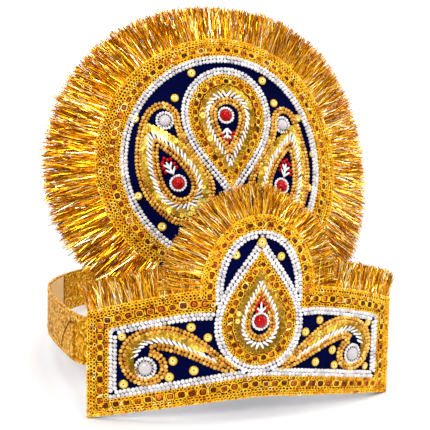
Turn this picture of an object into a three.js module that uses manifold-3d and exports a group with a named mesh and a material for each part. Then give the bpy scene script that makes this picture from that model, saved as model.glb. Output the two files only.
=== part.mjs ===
// Mukut crown: a curved velvet front band with a raised arch, a round halo that stands behind it,
// beadwork, stone-set braid, tinsel fringe, and a strap that closes the ring behind the head.
// Millimetres, +Z up, +X to the right as seen from the front, +Y towards the back.
import * as THREE from "three";
import Module from "manifold-3d";

const wasm = await Module();
wasm.setup();

// Clearances and walls
const GAP = 0.3;
const JOIN_STEP = 0.05;
const BOARD = 2.5;
const STRAP_WALL = 1.6;
const TAB_WALL = 1.0;
const STAY_WALL = 2.0;

// Front band: u runs along its curved face from the middle, v up from its lower corners
const BAND_RADIUS = 198;
const BAND_HALF = 86.5;
const BAND_END = 53.5;
const BAND_RISE = 9.4;
const RISE_POWER = 1.5;
const WING_TOP = 65;
const WING_POWER = 1.4;
const ARCH_HALF = 31;
const ARCH_BASE = 62;
const ARCH_TOP = 102.5;
const ARCH_LEG = 0.86;

// Halo: u runs along its curved face from the middle, v up the leaning board from its centre
const HALO_RADIUS = 165;
const HALO_Y = 52.6;
const HALO_Z = 127;
const HALO_LEAN = THREE.MathUtils.degToRad(13.3);
const HALO_WIDE = 73.5;
const HALO_TALL = 69;
const HALO_CUT = 57.5;
const HALO_AXIS = 0.8;
const HALO_SIDE_TURN = 0.06;
const RIM_TURN = THREE.MathUtils.degToRad(145);
const RING_OUTER = 59.7;
const RING_INNER = 55.4;

// Stay of the halo: half its width, its web below the halo's cut, and where its two legs end
const STAY = { half: 14, below: 2.5, haloEnd: -30, archEnd: ARCH_TOP - 14 };

// Strap ring: seen from above, two half ellipses that meet at its widest place
const STRAP_HALF = 93;
const STRAP_WIDEST = 95;
const STRAP_FRONT = 186;
const STRAP_REAR = 101;
const STRAP_LOW = 25;
const STRAP_WIDE = 24.5;
const STRAP_SEWN = 76;
const STRAP_EDGE = 83.5;
const STRAP_SIDE_PLACES = [66, 55, 35, 15];
const STRAP_REAR_DEGREES = [0, 18, 36, 54, 72];
const STRAP_TAB = { from: 0.046, to: 0.086, foot: 1, hem: 1, rise: 3.5, tall: 17.2, bend: 1.5, round: 0.7 };

// Widths of the trims and the paths that they keep from the edge
const BRAID_WIDE = 10.8;
const BORDER_SLACK = 3.4;
const WHITE_WIDE = 4.0;
const GOLD_WIDE = 3.0;
const BARB_WIDE = 2.2;
const ARCH_ROW_HALF = 23.2;
const ARCH_ROW_TOP = 94.6;
const ARCH_ROW_FOOT = 58;
const ARCH_ROW_POWER = 2.2;

// Cross-sections of the trims: share of the width from the inner edge, height above the velvet
const BRAID_PROFILE = [[0, GAP], [0, 1.4], [0.38, 2.4], [1, 1.3], [1, GAP]];
const WHITE_PROFILE = [[0, GAP], [0.15, 2.1], [0.85, 2.1], [1, GAP]];
const GOLD_PROFILE = [[0, GAP], [0.15, 1.8], [0.85, 1.8], [1, GAP]];
const BUGLE_PROFILE = [[0, GAP], [0.1, 1.6], [0.9, 1.4], [1, GAP]];
const FIELD_PROFILE = [[0, GAP], [0, 1.0], [1, 1.0], [1, GAP]];
const BEZEL_PROFILE = [[0, GAP], [0, 1.5], [1, 1.5], [1, GAP]];
const SPRIG_PROFILE = [[-1, GAP], [-1, 1.5], [1, 1.5], [1, GAP]];

// Facets along the boards and trims
const STEPS = {
  wing: 8, archBoard: 22, haloBoard: 36, strap: 48, tab: 8, archRow: 24, bottom: 20, end: 2, rim: 40,
  drop: 28, sequinDrop: 24, paisley: 18, smallDrop: 18, loop: 30, scrollUpper: 27, scrollLower: 14, barb: 9,
};

// Fringes: strand length, what is added to it at one side, forward spread, locks along the edge
const FRINGE = {
  tape: 3.6, tapeWall: 2, rootFront: 0.8, tipFront: -0.2, tipBack: -2.6, valley: 0.86, thinned: 0.5,
  ragged: 0.05, raggedTurn: 2.4,
};
const HALO_FRINGE = { length: 19.8, side: 10.2, power: 1.5, spread: 2, locks: 44, end: 0.93, endCut: 0.4 };
const ARCH_FRINGE = { length: 13.6, left: 7.4, locks: 20, start: 0.2 };
const WING_FRINGE = { length: 14, locks: 14, inner: 34 };

// Drops: radius of the round end, reach to the point and depth of the round end from the centre
const DROP_FULLNESS = 1.25;
const PAISLEY_FULLNESS = 0.78;
const FRONT_DROP = { u: 0.2, v: 47, turn: 0, fullness: DROP_FULLNESS };
const FRONT_RINGS = {
  whiteOuter: { radius: 23.8, reach: 46.5, depth: 25.3 },
  whiteInner: { radius: 19.9, reach: 38.5, depth: 21.1 },
  braidOuter: { radius: 19.6, reach: 37.8, depth: 20.8 },
  braidInner: { radius: 12.6, reach: 27.5, depth: 14.2 },
  fieldOuter: { radius: 12.3, reach: 26.8, depth: 13.9 },
  fieldInner: { radius: 10.9, reach: 24.2, depth: 12.4 },
  bugleOuter: { radius: 10.6, reach: 23.6, depth: 12.1 },
  bugleInner: { radius: 8.9, reach: 20.4, depth: 9.0 },
  goldOuter: { radius: 8.4, reach: 19.6, depth: 8.4 },
  goldInner: { radius: 5.9, reach: 14.4, depth: 6.0 },
};
const HALO_DROP = { u: HALO_AXIS, v: 25.5, turn: Math.PI, fullness: DROP_FULLNESS };
const HALO_RINGS = {
  whiteOuter: { radius: 26.4, reach: 50.0, depth: 27.4 },
  whiteInner: { radius: 22.2, reach: 42.0, depth: 23.2 },
  braidOuter: { radius: 21.9, reach: 41.3, depth: 22.9 },
  braidInner: { radius: 14.7, reach: 33.6, depth: 15.4 },
  fieldOuter: { radius: 14.4, reach: 32.9, depth: 15.1 },
  fieldInner: { radius: 13.2, reach: 30.0, depth: 14.1 },
  bugleOuter: { radius: 12.9, reach: 29.4, depth: 13.8 },
  bugleInner: { radius: 10.3, reach: 25.2, depth: 12.2 },
  goldOuter: { radius: 9.8, reach: 24.2, depth: 11.6 },
  goldInner: { radius: 6.8, reach: 17.4, depth: 8.4 },
};
const PAISLEY_RINGS = {
  fieldOuter: { radius: 13.6, reach: 34.6, depth: 16.8 },
  fieldInner: { radius: 12.6, reach: 32.6, depth: 15.2 },
  bugleOuter: { radius: 12.3, reach: 32.0, depth: 14.9 },
  bugleInner: { radius: 10.3, reach: 28.8, depth: 12.4 },
  goldOuter: { radius: 10.0, reach: 28.0, depth: 12.0 },
  goldInner: { radius: 7.1, reach: 22.2, depth: 9.0 },
};

// Paisleys, measured outwards from the halo's axis: drop with its lean, jewel, outer side of the outline
const PAISLEYS = {
  left: {
    side: -1,
    drop: { u: 29.6, v: -12.3, degrees: 26 },
    jewel: { u: 35.3, v: 22.6 },
    outer: [
      { u: 36.0, v: 31.2 }, { u: 41.8, v: 29.2 }, { u: 45.6, v: 24.4 }, { u: 48.2, v: 17.7 },
      { u: 49.8, v: 10.4 }, { u: 50.6, v: 3.0 }, { u: 50.2, v: -5.2 }, { u: 47.9, v: -14.5 },
      { u: 43.8, v: -22.2 }, { u: 38.4, v: -28.2 },
    ],
  },
  right: {
    side: 1,
    drop: { u: 31.2, v: -13.9, degrees: 17 },
    jewel: { u: 35.4, v: 21.9 },
    outer: [
      { u: 34.6, v: 30.2 }, { u: 40.0, v: 28.4 }, { u: 43.8, v: 22.4 }, { u: 46.4, v: 14.4 },
      { u: 48.9, v: 5.4 }, { u: 49.6, v: -3.9 }, { u: 48.6, v: -12.7 }, { u: 46.2, v: -20.6 },
      { u: 41.0, v: -28.0 },
    ],
  },
};

// Inner side of both gold outlines, from below up to the jewel
const PAISLEY_INNER = [
  { u: 30.5, v: -33.4 }, { u: 19.5, v: -31.4 }, { u: 12.4, v: -22.0 }, { u: 11.8, v: -12.0 },
  { u: 16.8, v: -3.0 }, { u: 22.2, v: 5.0 }, { u: 26.6, v: 13.0 }, { u: 28.4, v: 20.0 },
  { u: 29.8, v: 27.0 },
];

// Scroll of the side panels, from its tail beside the front drop to the hook round the jewel
const SCROLL_UPPER = [
  { u: 17.4, v: 26.4 }, { u: 21.2, v: 30.2 }, { u: 25.6, v: 34.4 }, { u: 30.6, v: 38.4 },
  { u: 35.6, v: 41.8 }, { u: 41.0, v: 44.2 }, { u: 47.0, v: 45.6 }, { u: 54.3, v: 45.0 },
  { u: 61.0, v: 42.6 }, { u: 66.2, v: 38.4 }, { u: 68.6, v: 32.0 }, { u: 67.2, v: 25.4 },
  { u: 63.0, v: 20.6 }, { u: 57.0, v: 19.1 }, { u: 51.6, v: 20.6 }, { u: 48.4, v: 24.6 },
  { u: 48.7, v: 29.0 }, { u: 51.4, v: 32.4 }, { u: 55.4, v: 34.2 },
];
const SCROLL_LOWER = [
  { u: 17.4, v: 25.0 }, { u: 23.0, v: 27.0 }, { u: 29.0, v: 29.8 }, { u: 35.2, v: 32.6 },
  { u: 41.0, v: 35.0 }, { u: 46.5, v: 36.4 }, { u: 51.5, v: 36.8 }, { u: 55.8, v: 34.8 },
];
const SCROLL_BARB = [
  { u: 28.4, v: 32.9 }, { u: 33.0, v: 35.0 }, { u: 38.0, v: 37.2 }, { u: 43.5, v: 39.2 },
  { u: 48.5, v: 40.2 }, { u: 54.0, v: 40.2 }, { u: 59.2, v: 38.0 }, { u: 62.2, v: 33.4 },
];
const SCROLL_FIELD = [
  { u: 31.8, v: 36.0 }, { u: 37.4, v: 38.9 }, { u: 43.0, v: 41.0 }, { u: 48.4, v: 42.1 },
  { u: 54.2, v: 42.0 }, { u: 60.3, v: 39.4 }, { u: 63.8, v: 33.6 }, { u: 63.3, v: 27.0 },
  { u: 61.6, v: 22.6 },
];
const SCROLL_FIELD_SPAN = { from: 0.18, to: 0.7 };

// Stones: distance from the axis and height on their board, and the radius of each round
const DOME = { radius: 3.7, ringInner: 4.0, ringOuter: 5.3, sides: 12 };
const DOME_ROUNDS = [
  { share: 1.0, h: GAP }, { share: 1.0, h: 1.3 }, { share: 0.84, h: 2.4 }, { share: 0.5, h: 3.2 },
  { share: 0.16, h: 3.5 },
];
const JEWEL_ROUNDS = [
  { share: 1.0, h: GAP }, { share: 1.0, h: 1.2 }, { share: 0.84, h: 1.9 }, { share: 0.7, h: 1.5 },
  { share: 0.6, h: 2.5 }, { share: 0.3, h: 3.2 },
];
const JEWEL_SIDES = 14;
const HALO_JEWEL_RADIUS = 5.0;
const PANEL_JEWEL = { u: 57.2, v: 26.4, radius: 5.4 };

// Sprig beside a dome: half width at places along the axis of its drop
const SPRIG_ROWS = [
  { along: 5.7, half: 0.6 }, { along: 7.0, half: 2.0 }, { along: 9.0, half: 2.4 },
  { along: 11.2, half: 1.5 }, { along: 13.0, half: 0.5 },
];

// Colours and finishes
const FINISH = {
  velvet: { color: 0x070b4a, roughness: 0.95, metalness: 0 },
  tinsel: { color: 0xd99a1c, roughness: 0.3, metalness: 0.9 },
  braid: { color: 0xe6a820, roughness: 0.5, metalness: 0.5 },
  white: { color: 0xf1eff2, roughness: 0.25, metalness: 0 },
  gold: { color: 0xc98a18, roughness: 0.3, metalness: 0.6 },
  sequin: { color: 0xd9a51e, roughness: 0.25, metalness: 0.8 },
  red: { color: 0xd00a12, roughness: 0.08, metalness: 0 },
  strap: { color: 0xd2a038, roughness: 0.6, metalness: 0.4 },
  stay: { color: 0x14152e, roughness: 0.9, metalness: 0 },
};

// Point of the band's face at (u, v), h in front of the velvet
function band(u, v, h) {
  const turn = u / BAND_RADIUS;
  const out = BAND_RADIUS + h;
  return new THREE.Vector3(out * Math.sin(turn), BAND_RADIUS - out * Math.cos(turn), v);
}

// Point of the halo's face at (u, v), h in front of the velvet
function halo(u, v, h) {
  const turn = u / HALO_RADIUS;
  const out = HALO_RADIUS + h;
  const back = HALO_RADIUS - out * Math.cos(turn);
  const y = HALO_Y + back * Math.cos(HALO_LEAN) + v * Math.sin(HALO_LEAN);
  const z = HALO_Z + v * Math.cos(HALO_LEAN) - back * Math.sin(HALO_LEAN);
  return new THREE.Vector3(out * Math.sin(turn), y, z);
}

// Closed body through a row of like cross-sections; an open row gets flat ends fanned from a point
function loft(sections, closed = false) {
  const count = sections[0].length;
  const positions = sections.flat().flatMap((point) => [point.x, point.y, point.z]);
  const faces = [];
  const last = closed ? sections.length : sections.length - 1;
  for (let i = 0; i < last; i += 1) {
    const here = i * count;
    const next = ((i + 1) % sections.length) * count;
    for (let k = 0; k < count; k += 1) {
      const m = (k + 1) % count;
      faces.push(here + k, here + m, next + m, here + k, next + m, next + k);
    }
  }
  if (!closed) {
    const end = (sections.length - 1) * count;
    for (let k = 1; k < count - 1; k += 1) {
      faces.push(0, k + 1, k, end, end + k, end + k + 1);
    }
  }
  return facingOut(positions, faces);
}

// Geometry whose faces point outwards, whichever way round its sections were listed
function facingOut(positions, faces) {
  const corner = (i) => new THREE.Vector3().fromArray(positions, 3 * i);
  let volume = 0;
  for (let i = 0; i < faces.length; i += 3) {
    volume += corner(faces[i]).dot(corner(faces[i + 1]).cross(corner(faces[i + 2])));
  }
  const geometry = new THREE.BufferGeometry();
  geometry.setAttribute("position", new THREE.Float32BufferAttribute(positions, 3));
  geometry.setIndex(volume < 0 ? [...faces].reverse() : faces);
  geometry.computeVertexNormals();
  return geometry;
}

// One body from several that overlap
function join(geometries) {
  const solids = geometries.map((geometry) => new wasm.Manifold(new wasm.Mesh({
    numProp: 3,
    vertProperties: new Float32Array(geometry.attributes.position.array),
    triVerts: new Uint32Array(geometry.index.array),
  })));
  const mesh = solids.reduce((whole, solid) => whole.add(solid)).getMesh();
  const geometry = new THREE.BufferGeometry();
  geometry.setAttribute("position", new THREE.BufferAttribute(mesh.vertProperties, 3));
  geometry.setIndex(new THREE.BufferAttribute(mesh.triVerts, 1));
  geometry.computeVertexNormals();
  return geometry;
}

// Cross-section with its foot raised and its top lowered a little, so that joined strips share no face
function shrunk(profile, level) {
  const step = JOIN_STEP * level;
  return profile.map(([share, h]) => [share, h === GAP ? h + step : h - step]);
}

// Trim between an inner and an outer curve on a board
function trim(surface, inner, outer, profile, steps, closed = false) {
  const sections = [];
  const stops = closed ? steps : steps + 1;
  for (let i = 0; i < stops; i += 1) {
    const [a, b] = [inner(i / steps), outer(i / steps)];
    sections.push(profile.map(([share, h]) => (
      surface(a[0] + (b[0] - a[0]) * share, a[1] + (b[1] - a[1]) * share, h)
    )));
  }
  return loft(sections, closed);
}

// Curve shifted sideways, to its left as it runs
function beside(curve, distance) {
  const step = 0.002;
  return (t) => {
    const [u, v] = curve(t);
    const before = curve(Math.max(t - step, 0));
    const after = curve(Math.min(t + step, 1));
    const run = Math.hypot(after[0] - before[0], after[1] - before[1]);
    return [u - distance * (after[1] - before[1]) / run, v + distance * (after[0] - before[0]) / run];
  };
}

// Smooth curve through the rows of a table; side is 1 or -1, axis the line that it is mirrored about
function through(rows, side = 1, axis = 0, closed = false) {
  const points = rows.map((row) => new THREE.Vector3(axis + side * row.u, row.v, 0));
  const curve = new THREE.CatmullRomCurve3(points, closed, "centripetal");
  return (t) => {
    const point = curve.getPoint(closed ? t % 1 : t);
    return [point.x, point.y];
  };
}

// Part of a curve
function part(curve, from, to) {
  return (t) => curve(from + (to - from) * t);
}

// Outline of a drop: a round end and two full sides that run to a point, turned about its centre
function drop(place, { radius, reach, depth }) {
  return (t) => {
    const rise = Math.cos(2 * Math.PI * t);
    const swing = Math.sin(2 * Math.PI * t);
    const side = Math.sign(swing) * Math.cos(Math.PI / 2 * Math.max(rise, 0)) ** place.fullness;
    const wide = radius * (rise > 0 ? side : swing);
    const along = (rise > 0 ? reach : depth) * rise;
    return [
      place.u + wide * Math.cos(place.turn) + along * Math.sin(place.turn),
      place.v - wide * Math.sin(place.turn) + along * Math.cos(place.turn),
    ];
  };
}

// Arch that stands on two straight legs, from its left foot to its right foot
function arch(half, top, power, foot) {
  return (t) => {
    const side = t < 0.5 ? -1 : 1;
    const run = Math.abs(2 * t - 1) / ARCH_LEG;
    if (run > 1) {
      const down = (run - 1) / (1 / ARCH_LEG - 1);
      return [side * half, ARCH_BASE + (foot - ARCH_BASE) * down];
    }
    const turn = run * Math.PI / 2;
    const u = side * half * Math.sin(turn) ** (2 / power);
    return [u, ARCH_BASE + (top - ARCH_BASE) * Math.cos(turn) ** (2 / power)];
  };
}

// Ellipse on the halo, from one end of the rim to the other over the top
function rim(wide, tall) {
  return (t) => {
    const turn = (2 * t - 1) * RIM_TURN;
    return [wide * Math.sin(turn), tall * Math.cos(turn)];
  };
}

// Lower and upper edges of the front board
function bandLow(u) {
  return BAND_RISE * (1 - (Math.abs(u) / BAND_HALF) ** RISE_POWER);
}

function wingTop(u) {
  const run = (Math.abs(u) - ARCH_HALF) / (BAND_HALF - ARCH_HALF);
  return WING_TOP - (WING_TOP - BAND_END) * Math.max(run, 0) ** WING_POWER;
}

function bandHigh(u) {
  const run = Math.abs(u) / ARCH_HALF;
  if (run >= 1) return wingTop(u);
  return Math.max(ARCH_BASE + (ARCH_TOP - ARCH_BASE) * Math.sqrt(1 - run * run), WING_TOP);
}

// Board made of upright strips, from a list of places along u and its two edges
function board(surface, places, low, high) {
  return loft(places.map((u) => [
    surface(u, low(u), -BOARD), surface(u, low(u), 0), surface(u, high(u), 0), surface(u, high(u), -BOARD),
  ]));
}

function frontBoard() {
  const wing = BAND_HALF - ARCH_HALF;
  const places = [];
  for (let i = 0; i < STEPS.wing; i += 1) {
    places.push(-BAND_HALF + wing * i / STEPS.wing);
  }
  for (let i = 0; i <= STEPS.archBoard; i += 1) {
    places.push(-ARCH_HALF * Math.cos(Math.PI * i / STEPS.archBoard));
  }
  for (let i = 1; i <= STEPS.wing; i += 1) {
    places.push(ARCH_HALF + wing * i / STEPS.wing);
  }
  return board(band, places, bandLow, bandHigh);
}

function haloBoard() {
  const sweep = Math.PI - 2 * HALO_SIDE_TURN;
  const places = [];
  for (let i = 0; i <= STEPS.haloBoard; i += 1) {
    places.push(-HALO_WIDE * Math.cos(HALO_SIDE_TURN + sweep * i / STEPS.haloBoard));
  }
  const high = (u) => HALO_TALL * Math.sqrt(1 - (u / HALO_WIDE) ** 2);
  return board(halo, places, (u) => Math.max(-high(u), -HALO_CUT), high);
}

// Bent strip that carries the halo: up the back of the arch, across below the halo, up its back
function haloStay() {
  const behind = -BOARD - GAP;
  const archBack = band(STAY.half, 0, behind).y;
  const low = halo(STAY.half, -HALO_CUT - STAY.below, behind);
  const high = halo(STAY.half, STAY.haloEnd, behind);
  const across = new THREE.Vector2(high.z - low.z, low.y - high.y).setLength(STAY_WALL);
  const profile = new THREE.Shape([
    new THREE.Vector2(archBack, low.z - STAY_WALL),
    new THREE.Vector2(low.y + across.x, low.z - STAY_WALL),
    new THREE.Vector2(high.y + across.x, high.z + across.y),
    new THREE.Vector2(high.y, high.z),
    new THREE.Vector2(low.y, low.z),
    new THREE.Vector2(archBack + STAY_WALL, low.z),
    new THREE.Vector2(archBack + STAY_WALL, STAY.archEnd),
    new THREE.Vector2(archBack, STAY.archEnd),
  ]);
  const geometry = new THREE.ExtrudeGeometry(profile, { depth: 2 * STAY.half, bevelEnabled: false });
  geometry.applyMatrix4(new THREE.Matrix4().makeBasis(
    new THREE.Vector3(0, 1, 0), new THREE.Vector3(0, 0, 1), new THREE.Vector3(1, 0, 0),
  ));
  geometry.translate(-STAY.half, 0, 0);
  return geometry;
}

// Middle of the strap's wall, from its sewn end on the left round the back to the one on the right
function strapLine() {
  const half = STRAP_HALF - STRAP_WALL / 2;
  const depth = STRAP_REAR - STRAP_WALL / 2;
  const behind = -BOARD - GAP - STRAP_WALL / 2;
  const sewn = [STRAP_SEWN, STRAP_EDGE].map((u) => band(-u, 0, behind));
  const side = STRAP_SIDE_PLACES.map((y) => {
    const wide = half * Math.sqrt(1 - (y / STRAP_FRONT) ** 2);
    return new THREE.Vector3(-wide, STRAP_WIDEST - y, 0);
  });
  const rear = STRAP_REAR_DEGREES.map((degrees) => {
    const turn = THREE.MathUtils.degToRad(degrees);
    return new THREE.Vector3(-half * Math.cos(turn), STRAP_WIDEST + depth * Math.sin(turn), 0);
  });
  const left = [...sewn, ...side, ...rear];
  const back = new THREE.Vector3(0, STRAP_WIDEST + depth, 0);
  const right = left.map((point) => new THREE.Vector3(-point.x, point.y, 0)).reverse();
  return new THREE.CatmullRomCurve3([...left, back, ...right], false, "centripetal");
}

// Upright wall along a part of the strap's line, between two heights, set outwards from it
function strapWall(line, { from, to }, steps, outward, wall, low, high) {
  const sections = [];
  for (let i = 0; i <= steps; i += 1) {
    const share = i / steps;
    const place = line.getPointAt(from + (to - from) * share);
    const way = line.getTangentAt(from + (to - from) * share);
    const out = new THREE.Vector3(-way.y, way.x, 0);
    const at = (distance, z) => place.clone().addScaledVector(out, distance).setZ(z);
    const [bottom, top] = [low(share), high(share)];
    const [near, far] = [outward, outward + wall];
    sections.push([at(near, bottom), at(near, top), at(far, top), at(far, bottom)]);
  }
  return loft(sections);
}

function strap(line) {
  const high = STRAP_LOW + STRAP_WIDE;
  const whole = { from: 0, to: 1 };
  return strapWall(line, whole, STEPS.strap, -STRAP_WALL / 2, STRAP_WALL, () => STRAP_LOW, () => high);
}

// Tab sewn on the outside of the strap beside the band, its upper edge an arc down to its far end
function strapTab(line) {
  const { foot, hem, rise, tall, bend, round } = STRAP_TAB;
  const low = (share) => STRAP_LOW + foot + hem * share ** 6;
  const high = (share) => STRAP_LOW + rise + tall * (1 - share ** bend) ** round;
  return strapWall(line, STRAP_TAB, STEPS.tab, STRAP_WALL / 2 + GAP, TAB_WALL, low, high);
}

// Fringe along an edge: a tape behind the board and locks of strands that stand straight out from it
function fringe(surface, edge, length, locks, spread = () => 0) {
  const sections = [];
  const columns = 2 * locks;
  const back = -BOARD - GAP;
  for (let i = 0; i <= columns; i += 1) {
    const t = i / columns;
    const ragged = 1 + FRINGE.ragged * Math.sin(FRINGE.raggedTurn * Math.min(i, columns - i));
    const reach = length(t) * (i % 2 ? ragged : FRINGE.valley);
    const thin = i % 2 ? 0 : FRINGE.thinned;
    const root = (h) => surface(...edge(t), h);
    const way = surface(...beside(edge, GAP)(t), 0).sub(root(0)).normalize();
    const at = (distance, h) => root(h).addScaledVector(way, distance);
    const [front, rear] = [FRINGE.tipFront - thin + spread(t), FRINGE.tipBack + thin + spread(t)];
    sections.push([
      at(GAP, back), at(GAP, FRINGE.rootFront - thin), at(reach, front), at(reach, rear),
      at(-FRINGE.tape, back - FRINGE.tapeWall), at(-FRINGE.tape, back),
    ]);
  }
  return loft(sections);
}

function haloFringe() {
  const { length, side, power, spread, locks, end, endCut } = HALO_FRINGE;
  const aside = (t) => Math.abs(Math.sin((2 * t - 1) * RIM_TURN)) ** power;
  const cut = (t) => 1 - endCut * Math.max((Math.abs(2 * t - 1) - end) / (1 - end), 0);
  const longer = (t) => (length + side * aside(t)) * cut(t);
  return fringe(halo, rim(HALO_WIDE, HALO_TALL), longer, locks, (t) => spread * aside(t));
}

function archFringe() {
  const { length, left, locks, start } = ARCH_FRINGE;
  const edge = part(arch(ARCH_HALF, ARCH_TOP, 2, WING_TOP), start, 1 - start);
  return fringe(band, edge, (t) => length + left * (1 - t) ** 2, locks);
}

function wingFringe(side) {
  const { length, locks, inner } = WING_FRINGE;
  return fringe(band, wingEdge(side, inner, BAND_HALF - GAP)(0), () => length, locks);
}

// Edges of the front board; each takes an inset from the edge and gives a curve along it
function bottomEdge(half) {
  return (inset) => (t) => {
    const u = half * (2 * t - 1);
    const slack = BORDER_SLACK * Math.abs(u) / BAND_HALF * Math.min(inset / BRAID_WIDE, 1);
    return [u, bandLow(u) + inset - slack];
  };
}

function endEdge(side, low, high) {
  return (inset) => (t) => [side * (BAND_HALF - inset), low + (high - low) * t];
}

function wingEdge(side, inner, outer) {
  const [first, last] = side < 0 ? [-outer, -inner] : [inner, outer];
  return (inset) => (t) => {
    const u = first + (last - first) * t;
    return [u, wingTop(u) - inset];
  };
}

// Strip of the border between two insets
function edging(edge, [near, far], profile, steps) {
  return trim(band, edge(far), edge(near), profile, steps);
}

function braidBorder() {
  const span = [GAP, BRAID_WIDE];
  const foot = WING_TOP - BRAID_WIDE;
  const inner = arch(ARCH_ROW_HALF + GAP, ARCH_ROW_TOP + GAP, ARCH_ROW_POWER, foot);
  const outer = arch(ARCH_HALF - GAP, ARCH_TOP - GAP, 2, foot);
  const pieces = [trim(band, inner, outer, BRAID_PROFILE, STEPS.archRow)];
  pieces.push(edging(bottomEdge(BAND_HALF - GAP), span, shrunk(BRAID_PROFILE, 1), STEPS.bottom));
  const endLow = bandLow(BAND_HALF - BRAID_WIDE) + 2 * GAP;
  for (const side of [-1, 1]) {
    const end = endEdge(side, endLow, BAND_END - GAP);
    pieces.push(edging(end, span, shrunk(BRAID_PROFILE, 2), STEPS.end));
    const wing = wingEdge(side, ARCH_ROW_HALF + 2 * GAP, BAND_HALF - GAP);
    pieces.push(edging(wing, span, shrunk(BRAID_PROFILE, 3), STEPS.wing));
  }
  return join(pieces);
}

function whiteFront() {
  const near = BRAID_WIDE + GAP;
  const span = [near, near + WHITE_WIDE];
  const outerHalf = BAND_HALF - near;
  const [innerHalf, innerTop] = [ARCH_ROW_HALF - WHITE_WIDE, ARCH_ROW_TOP - WHITE_WIDE];
  const inner = arch(innerHalf, innerTop, ARCH_ROW_POWER, ARCH_ROW_FOOT);
  const outer = arch(ARCH_ROW_HALF, ARCH_ROW_TOP, ARCH_ROW_POWER, ARCH_ROW_FOOT);
  const pieces = [trim(band, inner, outer, WHITE_PROFILE, STEPS.archRow)];
  const ring = [drop(FRONT_DROP, FRONT_RINGS.whiteInner), drop(FRONT_DROP, FRONT_RINGS.whiteOuter)];
  pieces.push(trim(band, ...ring, shrunk(WHITE_PROFILE, 1), STEPS.drop, true));
  pieces.push(edging(bottomEdge(outerHalf), span, shrunk(WHITE_PROFILE, 2), STEPS.bottom));
  const endLow = bandLow(outerHalf - WHITE_WIDE) + near + GAP;
  const endHigh = wingTop(outerHalf) - near - GAP;
  for (const side of [-1, 1]) {
    pieces.push(edging(endEdge(side, endLow, endHigh), span, shrunk(WHITE_PROFILE, 3), STEPS.end));
    const wing = wingEdge(side, ARCH_ROW_HALF - WHITE_WIDE / 2, outerHalf);
    pieces.push(edging(wing, span, shrunk(WHITE_PROFILE, 4), STEPS.wing));
  }
  return join(pieces);
}

// Strip of even width along a middle line
function strip(surface, line, wide, profile, steps, closed = false) {
  return trim(surface, beside(line, -wide / 2), beside(line, wide / 2), profile, steps, closed);
}

// Gold outline of a side panel's scroll: the upper and lower line joined at the hook
function scroll(side) {
  const upper = strip(band, through(SCROLL_UPPER, side), GOLD_WIDE, GOLD_PROFILE, STEPS.scrollUpper);
  const flat = shrunk(GOLD_PROFILE, 2);
  const lower = strip(band, through(SCROLL_LOWER, side), GOLD_WIDE, flat, STEPS.scrollLower);
  return join([upper, lower]);
}

// Sequin field of a scroll, between the barbs and the upper outline
function scrollField(side) {
  const inset = side * (GOLD_WIDE / 2 + GAP);
  const { from, to } = SCROLL_FIELD_SPAN;
  const upper = part(beside(through(SCROLL_UPPER, side), -inset), from, to);
  return trim(band, through(SCROLL_FIELD, side), upper, FIELD_PROFILE, STEPS.scrollLower);
}

// Ring between two named outlines of a drop
function dropRing(surface, place, rings, [inner, outer], profile, steps) {
  return trim(surface, drop(place, rings[inner]), drop(place, rings[outer]), profile, steps, true);
}

// Round piece that stands on a board
function round(surface, u, v, rounds, radius, sides) {
  return loft(rounds.map(({ share, h }) => Array.from({ length: sides }, (_, k) => {
    const turn = 2 * Math.PI * k / sides;
    return surface(u + radius * share * Math.cos(turn), v + radius * share * Math.sin(turn), h);
  })));
}

// Leaf-shaped sprig beside a dome, along the axis of its drop
function sprig(surface, place) {
  const [cos, sin] = [Math.cos(place.turn), Math.sin(place.turn)];
  return loft(SPRIG_ROWS.map(({ along, half }) => SPRIG_PROFILE.map(([way, h]) => (
    surface(place.u + way * half * cos + along * sin, place.v - way * half * sin + along * cos, h)
  ))));
}

function circle({ u, v }, radius) {
  return (t) => [u + radius * Math.cos(2 * Math.PI * t), v + radius * Math.sin(2 * Math.PI * t)];
}

// The beaded rings, dome and sprig of one small drop
function addDrop(add, name, surface, place, rings) {
  const gold = ["goldInner", "goldOuter"];
  const bugle = ["bugleInner", "bugleOuter"];
  const bezel = [circle(place, DOME.ringInner), circle(place, DOME.ringOuter)];
  const dome = round(surface, place.u, place.v, DOME_ROUNDS, DOME.radius, DOME.sides);
  add(`gold_drop_${name}`, dropRing(surface, place, rings, gold, GOLD_PROFILE, STEPS.smallDrop), "gold");
  add(`bugle_ring_${name}`, dropRing(surface, place, rings, bugle, BUGLE_PROFILE, STEPS.smallDrop), "white");
  add(`dome_${name}`, dome, "red");
  add(`dome_ring_${name}`, trim(surface, ...bezel, BEZEL_PROFILE, DOME.sides, true), "white");
  add(`sprig_${name}`, sprig(surface, place), "red");
}

// One side panel of the band
function addPanel(add, name, side) {
  const { u, v, radius } = PANEL_JEWEL;
  const barbs = strip(band, through(SCROLL_BARB, side), BARB_WIDE, BUGLE_PROFILE, STEPS.barb);
  add(`scroll_${name}`, scroll(side), "gold");
  add(`bugle_barb_${name}`, barbs, "white");
  add(`field_scroll_${name}`, scrollField(side), "sequin");
  add(`jewel_panel_${name}`, round(band, side * u, v, JEWEL_ROUNDS, radius, JEWEL_SIDES), "white");
}

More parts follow.
